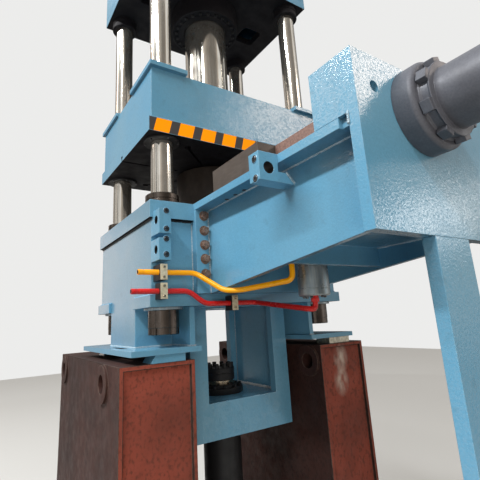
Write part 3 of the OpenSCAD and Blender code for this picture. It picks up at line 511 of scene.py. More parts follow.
bare = {  # painted outside; inside the rim the bed's top is machined steel, and the platen's and crown's undersides a near-black steel that is partly painted shade
    "platen_bottom_plate": "undersideSteel",
    "bed_top_plate": "machinedSteel",
    "crown_bottom_plate": "undersideSteel",
}
coats = {  # where a second finish begins, in metres, and how square to an axis its faces stand
    "rim": 0.003,
    "square": 0.7,
    "boreSlope": 0.3,
    "slotSlope": 0.5,
    "hazed": ["bed_left_wall", "bed_right_wall", "bed_bottom_plate", "bed_top_plate"],
    "glareGreyedFrom": 0.59,
    "bores": ("upper_block_bore", "lower_block_bore", "table_lug_bore"),
    "boreMargin": 0.0003,
    "anchorSlot": {"x": 0.644, "y": -0.09, "halfWidth": 0.02, "halfLength": 0.12},
    "standFace": 0.004,
}


def mergedCopy(node):
    work = bmesh.new()
    work.from_mesh(frame["nodes"][node].data)
    bmesh.ops.remove_doubles(work, verts=work.verts, dist=0.00002)
    bmesh.ops.dissolve_limit(work, angle_limit=math.radians(1), verts=work.verts, edges=work.edges)
    mesh = bpy.data.meshes.new(node)
    work.to_mesh(mesh)
    work.free()
    return mesh


def dressed(node, finish):  # the mesh of a plate's piece, with one more finish to lay on
    mesh = bpy.data.objects[node + "_piece"].data
    mesh.materials.append(finishes[finish])
    return mesh


def inBore(face):
    for mount in frame["record"]["mounts"]:
        if mount["name"] in coats["bores"]:
            along = Vector(mount["axis"])
            away = face.center - Vector(mount["pos_m"])
            off = away - along * away.dot(along)
            near = off.length < mount["dims"]["r_mm"] * mm + coats["boreMargin"]
            if near and abs(face.normal.dot(along)) < coats["boreSlope"]:
                return True
    return False


def inAnchorSlot(face):
    slot = coats["anchorSlot"]
    across = abs(abs(face.center.x) - slot["x"]) < slot["halfWidth"]
    along = abs(face.center.y - slot["y"]) < slot["halfLength"]
    return across and along and abs(face.normal.z) < coats["slotSlope"]


for finish, look in plates.items():
    for node in look["nodes"]:
        mesh = rounded(mergedCopy(node), look["edge"])
        standIn(node, mesh, finish, bodyOf(node))
for node, inside in bare.items():
    mesh = rounded(mergedCopy(node), plates["blueEnamel"]["edge"])
    standIn(node, mesh, "blueEnamel", bodyOf(node))
    low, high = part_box(node)
    recoat(dressed(node, inside), lambda face: min(
        face.center.x - low.x, high.x - face.center.x,
        face.center.y - low.y, high.y - face.center.y) >= coats["rim"])
for node in coats["hazed"]:  # painted glare and shade: the bed's sides that face along X get a greyer, duller blue
    recoat(dressed(node, "hazedEnamel"), lambda face: (
        abs(face.normal.x) > coats["square"] and abs(face.center.x) > coats["glareGreyedFrom"]))
# painted shade: the gap under the bed's top plate is made near-black, and so are the bores and the anchor
# slots
recoat(dressed("bed_top_plate", "undersideSteel"), lambda face: face.normal.z < -coats["square"])
recoat(dressed("bored_blocks", "blackSteel"), inBore)
recoat(dressed("foot_plates", "blackSteel"), inAnchorSlot)
for node in ("left_stand", "right_stand"):  # painted shade: the darker primer goes on the sides and small faces, the light primer on the broad faces only
    recoat(dressed(node, "darkPrimer"), lambda face: (
        abs(face.normal.y) <= coats["square"] or face.area <= coats["standFace"]))


# Shims: painted wedges with a slanted end under the left foot, zinc plates under the right one
shims = {"length": 170, "width": 110, "slant": 22, "edge": 1.2}


def shimPiece(name, side, finish):
    low, high = (corner * 1000 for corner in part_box("shim_plates"))
    start = low.x if side < 0 else high.x - shims["length"]
    slanted = start + shims["slant"] if side < 0 else start
    end = start + shims["length"]
    work = bmesh.new()
    for y in (low.y, high.y - shims["width"]):
        outline = [(start, low.z), (end, low.z), (end, high.z), (slanted, high.z)]
        prism(work, outline, y, y + shims["width"])
    return placePiece(name, rounded(closeMesh(work, name), shims["edge"]), finish)


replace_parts(shimPiece("left_shims", -1, "blueEnamel"), "shim_plates")
shimPiece("right_shims", 1, "zincPlate")
print("plates dressed")


# Chromed columns, the ram and the main cylinder; a groove or a band is (width, depth, slope)
columnLook = {"radius": 60, "chamfer": 5, "centreHole": 12, "holeDepth": 18, "play": 0.05}
ramLook = {"radius": 152, "chamfer": 6}
mainLook = {
    "radius": 245, "edge": 4, "bore": 170, "roof": 70, "gland": 210, "lead": 6, "play": 0.05,
    "screwRing": (196, 230), "ringSlope": 2, "ringDepth": 5, "flange": 300, "flangeHeight": 55,
    "neck": 236, "neckHeight": 52, "shoulder": 8, "crownEdge": 10,
}


def turnedPiece(node, outline, finish, place=(0, 0, 0), body="press_frame", sides=72):
    work = bmesh.new()
    turned(work, outline, place, sides=sides)
    standIn(node, closeMesh(work, node), finish, body)


def column(node):
    c = columnLook
    low, high = heights(node)
    at = middle(node)
    outline = [(0, low)] + lowEdge(c["radius"], low, c["chamfer"])
    outline += highEdge(c["radius"], high, c["chamfer"])
    outline += [(c["centreHole"], high), (0, high - c["holeDepth"])]
    turnedPiece(node, outline, "chromeSteel", (at.x, at.y, 0), sides=96)


def mainCylinder(node):
    c = mainLook
    low, high = heights(node)
    fit = ramLook["radius"] + c["play"]
    inner, outer = c["screwRing"]
    flangeTop = crownTop + c["flangeHeight"]
    outline = [(0, high - c["roof"]), (c["bore"], high - c["roof"]), (c["bore"], low + c["gland"]),
               (fit, low + c["gland"]), (fit, low + c["lead"]), (ramLook["radius"] + c["lead"], low),
               (inner, low), (inner + c["ringSlope"], low + c["ringDepth"]),
               (outer - c["ringSlope"], low + c["ringDepth"]), (outer, low)]
    outline += lowEdge(c["radius"], low, c["edge"]) + [(c["radius"], crownTop), (c["flange"], crownTop)]
    outline += highEdge(c["flange"], flangeTop, c["edge"])
    outline += [(c["radius"], flangeTop), (c["radius"], high - c["neckHeight"] - c["shoulder"]),
                (c["neck"], high - c["neckHeight"])]
    outline += highEdge(c["neck"], high, c["crownEdge"]) + [(0, high)]
    turnedPiece(node, outline, "undersideSteel", sides=128)


for node in ("column_front_left", "column_front_right", "column_back_left", "column_back_right"):
    column(node)
low, high = heights("main_ram")
ramEdge = highEdge(ramLook["radius"], high, ramLook["chamfer"])
turnedPiece("main_ram", [(0, low), (ramLook["radius"], low)] + ramEdge + [(0, high)],
            "chromeSteel", body="moving_platen", sides=128)
mainCylinder("main_cylinder")


# Slotted round nuts on the columns, with their washers
onColumn = columnLook["radius"] + columnLook["play"]
nutLook = {
    "radius": 76, "edge": 2, "washer": 96, "washerHeight": 12, "slots": 4, "slotWidth": 14, "slotDepth": 6,
    "step": 34, "stepRadius": 75, "stepEdge": 3,
}


def slottedRing(work, place, levels, sides=96):
    n = nutLook
    half = math.asin(n["slotWidth"] / 2 / levels[0][0])
    angles = [(2 * math.pi * k / sides, None) for k in range(sides)]
    for k in range(n["slots"]):
        mid = 2 * math.pi * (k + 0.5) / n["slots"]
        angles = [a for a in angles if abs((a[0] - mid + math.pi) % (2 * math.pi) - math.pi) > half]
        angles += [(mid - half, "out"), (mid - half + 1e-5, "in"), (mid, "in")]
        angles += [(mid + half - 1e-5, "in"), (mid + half, "out")]
    angles.sort()
    rows = [[(onColumn, levels[0][1])] * len(angles)]
    for radius, height in levels:
        rows.append([(radius - n["slotDepth"] if kind == "in" else radius, height) for _, kind in angles])
    rows.append([(onColumn, levels[-1][1])] * len(angles))
    rings = [[] for row in rows]
    for row, ring in zip(rows, rings):
        for (radius, height), (angle, _) in zip(row, angles):
            spot = Vector((place[0] + radius * math.cos(angle), place[1] + radius * math.sin(angle), height))
            ring.append(work.verts.new(spot * mm))
    skin(work, rings + rings[:1])


def columnNuts(node, washerLow):
    low, high = heights(node)
    n = nutLook
    tall, edge = n["washerHeight"], n["edge"]
    washer = (low, low + tall) if washerLow else (high - tall, high)
    near, far = (low + tall, high) if washerLow else (high - tall, low)
    way = 1 if washerLow else -1
    step = far - way * n["step"]
    flat = [(onColumn, washer[0])] + lowEdge(n["washer"], washer[0], edge)
    flat += highEdge(n["washer"], washer[1], edge) + [(onColumn, washer[1])]
    levels = [(n["stepRadius"] - n["stepEdge"], far), (n["stepRadius"], far - way * n["stepEdge"]),
              (n["stepRadius"], step + way * edge)]
    nut = [(onColumn, step + way * edge), (n["radius"] - edge, step + way * edge), (n["radius"], step),
           (n["radius"], near + way * edge), (n["radius"] - edge, near), (onColumn, near)]
    work = bmesh.new()
    for x, y in columnSpots:
        turned(work, flat, (x, y, 0), loop=True)
        slottedRing(work, (x, y), levels)
        turned(work, nut, (x, y, 0), loop=True)
    mesh = closeMesh(work, node)
    standIn(node, mesh, ["darkSteel", "hungSteel"])
    recoat(mesh, lambda face: washer[0] - 0.1 < face.center.z * 1000 < washer[1] + 0.1)


columnNuts("column_bottom_nuts", False)
columnNuts("column_top_nuts", True)


# Collars under the crown and on the bed, and the platen's bushings
collarLook = {
    "radius": 88, "foot": 1, "edge": 4, "grooveAt": 0.4, "groove": (8, 3, 2), "lip": 66, "well": 64,
    "sunk": 2, "low": 60, "high": 73, "darkBelowCrown": 80,
}
bushingLook = {"flange": 96, "flangeHeight": 14, "sleeve": 80, "edge": 2, "lead": 3, "well": 64, "lip": 66}


def columnCollars(node):
    c = collarLook
    work = bmesh.new()
    for x, y in columnSpots:
        for base, way, tall in ((bedTop, 1, c["low"]), (crownLow, -1, c["high"])):
            outline = [(onColumn, 0)] + lowEdge(c["radius"], 0, c["foot"])
            outline += groove(c["radius"], tall * c["grooveAt"], *c["groove"])
            outline += highEdge(c["radius"], tall, c["edge"])
            outline += [(c["lip"], tall), (c["well"], tall - c["sunk"]), (onColumn, tall - c["sunk"])]
            turned(work, [(r, base + way * h) for r, h in outline], (x, y, 0), loop=True)
    mesh = closeMesh(work, node)
    standIn(node, mesh, ["darkSteel", "undersideSteel"])
    # painted shade: the collars under the crown take the near-black steel
    recoat(mesh, lambda face: face.center.z * 1000 > crownLow - c["darkBelowCrown"])


def platenBushings(node):
    b = bushingLook
    low, high = heights(node)
    outline = [(onColumn, low + b["lead"]), (b["well"], low)] + lowEdge(b["flange"], low, b["edge"])
    outline += highEdge(b["flange"], low + b["flangeHeight"], b["edge"])
    outline += [(b["sleeve"], low + b["flangeHeight"])] + highEdge(b["sleeve"], high, b["edge"])
    outline += [(b["lip"], high), (b["well"], high - b["lead"]), (onColumn, high - b["lead"])]
    work = bmesh.new()
    for x, y in columnSpots:
        turned(work, outline, (x, y, 0), loop=True)
    standIn(node, closeMesh(work, node), "blackSteel", "moving_platen")


columnCollars("column_collars")
platenBushings("platen_bushings")
print("columns, nuts and bushings turned")


# Side cylinder with a rounded flange and a keyed ring
sideLook = {
    "x": -60, "bore": 80, "wall": 25, "rod": 45.05,
    "flange": 155, "flangeLength": 75, "round": 18, "edge": 2, "softening": 2,
    "ring": 128, "ringLength": 40, "ringLip": 4, "ringGroove": (30, 4, 3), "ringEdge": 3,
    "keys": 8, "keyWidth": 40, "keyHeight": 15, "keyRoot": 6,
    "barrel": 105, "bandFrom": 130, "band": (64, -7, 4), "capEdge": 8, "capRim": (93, 91), "capDepth": 12,
}
low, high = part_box("side_cylinder")
sideAxis = (sideLook["x"], high.y * 1000, (low.z + high.z) * 500)
sideLength = (high.y - low.y) * 1000
sideCap = sideLength - sideLook["capDepth"]


def sideCylinder(node):
    s = sideLook
    end = sideLength
    ringEnd = s["flangeLength"] + s["ringLength"]
    outline = [(0, end - s["wall"]), (s["bore"], end - s["wall"]), (s["bore"], s["flangeLength"]),
               (s["rod"], s["flangeLength"]), (s["rod"], 0)] + lowEdge(s["flange"], 0, s["edge"])
    outline += quarter(s["flange"], s["flangeLength"], s["round"]) + [(s["ring"], s["flangeLength"])]
    outline += groove(s["ring"], s["flangeLength"] + s["ringLip"], *s["ringGroove"])
    outline += highEdge(s["ring"], ringEnd, s["ringEdge"]) + [(s["barrel"], ringEnd)]
    outline += groove(s["barrel"], end - s["bandFrom"], *s["band"])
    outline += highEdge(s["barrel"], end, s["capEdge"])
    outline += [(s["capRim"][0], end), (s["capRim"][1], sideCap), (0, sideCap)]
    work = bmesh.new()
    turned(work, outline, sideAxis, (0, -1, 0), sides=96)
    low = (-s["keyWidth"] / 2, s["ringEdge"] - ringEnd, s["ring"] - s["keyRoot"])
    high = (s["keyWidth"] / 2, -s["flangeLength"] - s["ringEdge"], s["ring"] + s["keyHeight"])
    for k in range(s["keys"]):
        turn = Matrix.Rotation(2 * math.pi * (k + 0.5) / s["keys"], 4, "Y")
        block(work, low, high, Matrix.Translation(sideAxis) @ turn)
    standIn(node, rounded(closeMesh(work, node), s["softening"], 50), "greySteel")


sideCylinder("side_cylinder")


# Injection cylinder with its flange, bare neck and head
injectionLook = {
    "bore": 85, "wall": 25, "barrel": 110, "edge": 6, "bandAt": 60, "band": (48, -6, 4), "flange": 137,
    "flangeFoot": (2, 3), "flangeHeight": 34, "flangeEdge": 4, "neck": 112, "neckEdge": 2,
}
headLook = {
    "radius": 90, "edge": 3, "lineAt": 60, "line": 2, "top": 15, "well": 62, "wellDepth": 2,
    "neck": 82, "neckHeight": 22, "neckGroove": (8, 3, 2), "grooveAt": 7,
}
headLow, headHigh = heights("injection_head")
flangeTop = floorTop + injectionLook["flangeHeight"]
headFloor = headHigh - headLook["top"] - headLook["wellDepth"]


def injectionCylinder(node):
    c = injectionLook
    low, high = heights(node)
    hollow = (low + c["wall"], floorTop - c["wall"])
    outline = [(0, low)] + lowEdge(c["barrel"], low, c["edge"])
    outline += groove(c["barrel"], low + c["bandAt"], *c["band"]) + [(c["barrel"], floorTop)]
    outline += [(c["flange"] - c["flangeFoot"][0], floorTop), (c["flange"], floorTop + c["flangeFoot"][1])]
    outline += highEdge(c["flange"], flangeTop, c["flangeEdge"]) + [(c["neck"], flangeTop)]
    outline += highEdge(c["neck"], high, c["neckEdge"]) + [(0, high)]
    work = bmesh.new()
    turned(work, [(0, hollow[0]), (c["bore"], hollow[0]), (c["bore"], hollow[1]), (0, hollow[1])])
    turned(work, outline)
    standIn(node, closeMesh(work, node), "blackSteel")


def injectionHead(node):
    h = headLook
    foot, line, top = headLow + h["neckHeight"], headLow + h["lineAt"], headHigh - h["top"]
    outline = [(0, foot)] + lowEdge(h["radius"], foot, h["edge"])
    outline += [(h["radius"], line), (h["radius"] - h["line"], line + h["line"])]
    outline += [(h["radius"], line + 2 * h["line"])]
    outline += highEdge(h["radius"], top, h["edge"])
    outline += [(h["well"], top), (h["well"] - h["wellDepth"], headFloor), (0, headFloor)]
    turnedPiece(node, outline, "blackSteel")
    neck = [(0, headLow), (h["neck"], headLow)]
    neck += groove(h["neck"], headLow + h["grooveAt"], *h["neckGroove"]) + [(h["neck"], foot), (0, foot)]
    work = bmesh.new()
    turned(work, neck)
    placePiece("injection_neck", closeMesh(work, "neck"), "bandSteel")


injectionCylinder("injection_cylinder")
injectionHead("injection_head")


# Cylinder that hangs under the bracket
hungLook = {"radius": 71, "foot": 64, "footEdge": 5, "grooveAt": 30, "groove": (5.5, 1.5, 1.5)}
hungLow, hungHigh = heights("hung_cylinder")
hungY = middle("hung_cylinder").y
outline = [(0, hungLow), (hungLook["foot"], hungLow), (hungLook["radius"], hungLow + hungLook["footEdge"])]
outline += groove(hungLook["radius"], hungLow + hungLook["grooveAt"], *hungLook["groove"])
outline += [(hungLook["radius"], hungHigh), (0, hungHigh)]
turnedPiece("hung_cylinder", outline, "hungSteel", (0, hungY, 0))
print("cylinders turned")


# Oil pipes on their routes in (x, y, height over the bed's underside), with open stub ends at the left
pipeY, branchX, branchHeight = -505, -120, 180
pipes = {
    "yellow_pipe": {
        "finish": "yellowPaint", "slot": "yellow_paint",
        "route": [(-690, pipeY, 154), (-405.5, pipeY, 154), (-318.5, pipeY - 122, 58),
                  (-271.5, pipeY - 185, 54), (branchX, hungY, 80), (branchX, hungY, branchHeight),
                  (-71.3, hungY, branchHeight)],
    },
    "red_pipe": {
        "finish": "redPaint", "slot": "red_paint",
        "route": [(-720, pipeY, 68), (-441.5, pipeY, 68), (-355.5, pipeY, 6), (-60, pipeY, 6),
                  (-40, hungY, -48), (0, hungY, -48), (0, hungY, hungLow - 0.3 - ledge)],
    },
}
pipeLook = {
    "radius": 12.5, "bore": 9.5, "depth": 40, "lip": (12, 0.8), "bend": 32, "steps": 8, "sides": 20,
    "pinchAt": 24, "pinch": (7, 0.9, 2), "darkMargin": 0.7,
}


def bentRoute(route):
    points = [Vector(p) + Vector((0, 0, ledge)) for p in route]
    made = [points[0]]
    for before, corner, after in zip(points, points[1:], points[2:]):
        a, b = (corner + (end - corner).normalized() * min(pipeLook["bend"], (end - corner).length * 0.45)
                for end in (before, after))
        for k in range(pipeLook["steps"] + 1):
            t = k / pipeLook["steps"]
            made.append(a * (1 - t) ** 2 + corner * 2 * t * (1 - t) + b * t * t)
    return made + [points[-1]]


def openPipe(work, line):  # the start is pinched behind its rim and open, the far end is closed
    p = pipeLook
    way = (line[1] - line[0]).normalized()
    stub = [(0.01, p["depth"]), (p["bore"], p["depth"]), (p["bore"], 0)]
    stub += [(p["lip"][0], 0), (p["radius"], p["lip"][1])]
    stub += groove(p["radius"], p["pinchAt"], *p["pinch"])
    rows = [(line[0] + way * along, radius, way) for radius, along in stub]
    for k, point in enumerate(line[1:]):
        rows.append((point, p["radius"], (line[min(k + 2, len(line) - 1)] - line[k]).normalized()))
    rows.append((line[-1], 0.01, (line[-1] - line[-2]).normalized()))
    side = way.orthogonal().normalized()
    angles = [2 * math.pi * k / p["sides"] for k in range(p["sides"])]
    rings = []
    for centre, radius, along in rows:
        side = (side - along * side.dot(along)).normalized()
        other = along.cross(side)
        points = [centre + (side * math.cos(a) + other * math.sin(a)) * radius for a in angles]
        rings.append([work.verts.new(point * mm) for point in points])
    skin(work, rings)
    work.faces.new(rings[0])
    work.faces.new(rings[-1])


for node, look in pipes.items():
    work = bmesh.new()
    openPipe(work, bentRoute(look["route"]))
    mesh = closeMesh(work, node)
    standIn(node, mesh, [look["finish"], "blackSteel"], smooth=50)
    start = Vector(look["route"][0]) + Vector((0, 0, ledge))
    recoat(mesh, lambda face: (  # painted shade: black inside the open end
        (face.center * 1000 - start).yz.length < pipeLook["bore"] + pipeLook["darkMargin"]
        and face.center.x * 1000 < start.x + pipeLook["depth"] + 1))


# Blocks that close the gap between the table's end and the end plate
endBlocks = {"left": (-368, -322), "right": (322, 368), "y": (-1498, -1458), "z": (2150, 2183), "edge": 1.5}
work = bmesh.new()
for side in ("left", "right"):
    block(work, *zip(endBlocks[side], endBlocks["y"], endBlocks["z"]))
mesh = rounded(closeMesh(work, "ends"), endBlocks["edge"])
placePiece("table_end_blocks", mesh, "blueEnamel")


# Pipe fittings under and beside the hung cylinder, and the clamps' cover plates
fittings = {  # under and beside the cylinder: the hex part's length, the collar's radius, the whole length
    "bore": 12.6, "hex": 20, "nose": 1, "slope": 2, "edge": 0.8,
    "under": (16, 17, 26), "beside": (17, 16, 25),
}
clamps = {
    "places": [(-576, ledge + 154), (-576, ledge + 68), (-200, ledge + 6)],
    "halfWidth": 17, "halfHeight": 36, "front": -532.5, "back": -530.1, "screw": 23, "edge": 0.7,
}


def fitting(foot, hexLength, collar, length):
    f = fittings
    hexEnd, end = foot + hexLength, foot + length
    return [(f["bore"], foot), (f["hex"] - f["nose"], foot), (f["hex"], foot + f["slope"]),
            (f["hex"], hexEnd), (collar, hexEnd + f["slope"]), (collar, end), (f["bore"], end)]


work = bmesh.new()
under = fitting(hungLow - fittings["under"][-1], *fittings["under"])
turned(work, under, (0, hungY, 0), sides=6, loop=True)
beside = fitting(hungLook["radius"], *fittings["beside"])
turned(work, beside, (0, hungY, ledge + branchHeight), (-1, 0, 0), sides=6, loop=True)
mesh = rounded(closeMesh(work, "fittings"), fittings["edge"], 25)
placePiece("pipe_fittings", mesh, "redPaint")
work = bmesh.new()
for x, z in clamps["places"]:
    block(work, (x - clamps["halfWidth"], clamps["front"], z - clamps["halfHeight"]),
          (x + clamps["halfWidth"], clamps["back"], z + clamps["halfHeight"]))
mesh = rounded(closeMesh(work, "covers"), clamps["edge"])
placePiece("clamp_plates", mesh, "creamPlate")


# Hazard stripes on the front edge of the platen's plate
stripes = {
    "orange": 86, "grey": 50, "first": -594, "count": 11, "lean": 19, "thick": 0.3, "gap": 0.02, "margin": 2,
}


def clippedStrip(work, start, end):  # a thin leaning bar, cut off at the plate's corners
    s = stripes
    low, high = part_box("platen_bottom_plate")
    face = low.y * 1000
    bottom, top = low.z * 1000 + s["margin"], high.z * 1000 - s["margin"]
    outline = [(start, bottom), (end, bottom), (end + s["lean"], top), (start + s["lean"], top)]
    part = bmesh.new()
    prism(part, outline, face - s["thick"], face - s["gap"])
    for x, way in ((low.x * 1000 + s["margin"], -1), (high.x * 1000 - s["margin"], 1)):
        cut = bmesh.ops.bisect_plane(part, geom=part.verts[:] + part.edges[:] + part.faces[:],
                                     plane_co=(x * mm, 0, 0), plane_no=(way, 0, 0), clear_outer=True)
        rims = [edge for edge in cut["geom_cut"] if isinstance(edge, bmesh.types.BMEdge)]
        bmesh.ops.holes_fill(part, edges=rims)
    mesh = bpy.data.meshes.new("strip")
    part.to_mesh(mesh)
    part.free()
    work.from_mesh(mesh)


for name, finish, offset, width in (("stripe_orange", "stripeOrange", 0, stripes["orange"]),
                                    ("stripe_grey", "stripeGrey", -stripes["grey"], stripes["grey"])):
    work = bmesh.new()
    for k in range(stripes["count"]):
        start = stripes["first"] + offset + (stripes["orange"] + stripes["grey"]) * k
        clippedStrip(work, start, start + width)
    placePiece(name, closeMesh(work, name), finish, "moving_platen")
print("pipes and stripes made")


# Geometry Nodes that repeat the fasteners and the weld beads
def newTree(name, sizes):
    tree = bpy.data.node_groups.new(name, "GeometryNodeTree")
    tree.interface.new_socket("Geometry", in_out="INPUT", socket_type="NodeSocketGeometry")
    tree.interface.new_socket("Geometry", in_out="OUTPUT", socket_type="NodeSocketGeometry")
    for label, value in sizes.items():
        kind = {int: "NodeSocketInt", float: "NodeSocketFloat"}.get(type(value), "NodeSocketMaterial")
        socket = tree.interface.new_socket(label, in_out="INPUT", socket_type=kind)
        if value is not None:
            socket.default_value = value
    return Bench(tree), tree.nodes.new("NodeGroupInput").outputs


def finishTree(bench, instances, finish):
    real = bench.node("GeometryNodeRealizeInstances", 0, {0: instances})
    coated = bench.node("GeometryNodeSetMaterial", 0, {"Geometry": real, "Material": finish})
    bench.tree.links.new(coated, bench.tree.nodes.new("NodeGroupOutput").inputs[0])
    return bench.tree


def joined(bench, parts):
    join = bench.tree.nodes.new("GeometryNodeJoinGeometry")
    for part in parts:
        bench.tree.links.new(part, join.inputs[0])
    return join.outputs[0]


def lifted(bench, part, height):
    up = bench.node("ShaderNodeCombineXYZ", 0, {"Z": height})
    return bench.node("GeometryNodeTransform", 0, {"Geometry": part, "Translation": up})


def facingPoints(bench, given, shape):  # the shape on each point, up along its facing, with a seeded spin
    facing = bench.node("GeometryNodeInputNamedAttribute", 0, {"Name": "facing"}, data_type="FLOAT_VECTOR")
    turn = bench.node("FunctionNodeAlignRotationToVector", 0, {"Vector": facing}, axis="Z")
    feeds = {2: 0.0, 3: 6.28, "Seed": given["Seed"]}
    spin = bench.node("FunctionNodeRandomValue", 1, feeds, data_type="FLOAT")
    about = bench.node("FunctionNodeAxisAngleToRotation", 0, {"Axis": (0, 0, 1), "Angle": spin})
    turn = bench.node("FunctionNodeRotateRotation", 0, {0: turn, 1: about}, rotation_space="LOCAL")
    feeds = {"Points": given["Geometry"], "Instance": shape, "Rotation": turn}
    return bench.node("GeometryNodeInstanceOnPoints", 0, feeds)


def hexBoltTree():
    sizes = {"Across": 0.036, "Head": 0.022, "Washer": 0.004, "Seed": 1, "Finish": None}
    bench, given = newTree("hexBolts", sizes)
    radius = bench.times(given["Across"], 0.577)
    low = bench.times(given["Head"], 0.8)
    base = given["Washer"]
    ring = bench.node("GeometryNodeMeshCylinder", 0, {
        "Vertices": 20, "Radius": bench.times(radius, 1.22), "Depth": base})
    head = bench.node("GeometryNodeMeshCylinder", 0, {"Vertices": 6, "Radius": radius, "Depth": low})
    crown = bench.node("GeometryNodeMeshCone", 0, {
        "Vertices": 6, "Radius Bottom": radius, "Radius Top": bench.times(radius, 0.84),
        "Depth": bench.times(given["Head"], 0.2)})
    parts = [lifted(bench, ring, bench.times(base, 0.5)),
             lifted(bench, head, bench.reckon("ADD", base, bench.times(low, 0.5))),
             lifted(bench, crown, bench.reckon("ADD", base, low))]
    return finishTree(bench, facingPoints(bench, given, joined(bench, parts)), given["Finish"])


def capScrewTree():
    bench, given = newTree("capScrews", {"Across": 0.024, "Head": 0.012, "Seed": 1, "Finish": None})
    feeds = {"Vertices": 24, "Radius": bench.times(given["Across"], 0.5), "Depth": given["Head"]}
    mesh, top = bench.node("GeometryNodeMeshCylinder", ("Mesh", "Top"), feeds)
    rise, sink = bench.times(given["Across"], 0.04), bench.times(given["Head"], -0.6)
    for offset, share in ((rise, 0.9), (0.0, 0.6), (sink, None)):  # a soft rim, a flat top and a well
        feeds = {"Mesh": mesh, "Selection": top, "Offset Scale": offset}
        mesh, top = bench.node("GeometryNodeExtrudeMesh", ("Mesh", "Top"), feeds)
        if share:
            feeds = {"Geometry": mesh, "Selection": top, "Scale": share}
            mesh = bench.node("GeometryNodeScaleElements", 0, feeds)
    shape = lifted(bench, mesh, bench.times(given["Head"], 0.5))
    return finishTree(bench, facingPoints(bench, given, shape), given["Finish"])


def weldTree():
    bench, given = newTree("weldBeads", {"Pitch": 0.007, "Width": 0.012, "Seed": 3, "Finish": None})
    line = bench.node("GeometryNodeMeshToCurve", 0, {0: given["Geometry"]})
    feeds = {"Curve": line, "Length": given["Pitch"]}
    steps = bench.node("GeometryNodeResampleCurve", 0, feeds, mode="LENGTH")
    along = bench.node("GeometryNodeInputTangent", 0, {})
    turn = bench.node("FunctionNodeAlignRotationToVector", 0, {"Vector": along}, axis="X")
    feeds = {"Segments": 7, "Rings": 4, "Radius": bench.times(given["Width"], 0.5)}
    drop = bench.node("GeometryNodeMeshUVSphere", 0, feeds)
    feeds = {0: (0.9, 0.75, 0.75), 1: (1.3, 1.15, 1.15), "Seed": given["Seed"]}
    grow = bench.node("FunctionNodeRandomValue", 0, feeds, data_type="FLOAT_VECTOR")
    feeds = {"Points": steps, "Instance": drop, "Rotation": turn, "Scale": grow}
    return finishTree(bench, bench.node("GeometryNodeInstanceOnPoints", 0, feeds), given["Finish"])


def grown(name, verts, lines, facing, tree, values):
    mesh = bpy.data.meshes.new(name)
    mesh.from_pydata([Vector(v) * mm for v in verts], lines, [])
    if facing:
        mesh.attributes.new("facing", "FLOAT_VECTOR", "POINT")
        mesh.attributes["facing"].data.foreach_set("vector", [c for f in facing for c in f])
    worker = bpy.data.objects.new("worker", mesh)
    bpy.context.scene.collection.objects.link(worker)
    modifier = worker.modifiers.new("grow", "NODES")
    modifier.node_group = tree
    for item in tree.interface.items_tree:
        if item.item_type == "SOCKET" and item.in_out == "INPUT" and item.name in values:
            modifier[item.identifier] = values[item.name]
    return evaluated(worker)


hexBolts, capScrews, weldBeads = hexBoltTree(), capScrewTree(), weldTree()


# Where the fasteners sit: (place in mm, the way the head faces)
def circle(count, radius, centre, facing, start=0.0):
    turn = Vector((0, 0, 1)).rotation_difference(Vector(facing)).to_matrix()
    spots = []
    for k in range(count):
        angle = math.radians(start) + 2 * math.pi * k / count
        out = Vector((radius * math.cos(angle), radius * math.sin(angle), 0))
        spots.append((Vector(centre) + turn @ out, facing))
    return spots


def grid(xs, ys, zs, facing):
    return [(Vector((x, y, z)), facing) for x in xs for y in ys for z in zs]


def hexHead(across, head, washer):
    return {"tree": hexBolts, "sizes": {"Across": across * mm, "Head": head * mm, "Washer": washer * mm}}


def capHead(across, head):
    return {"tree": capScrews, "sizes": {"Across": across * mm, "Head": head * mm}}


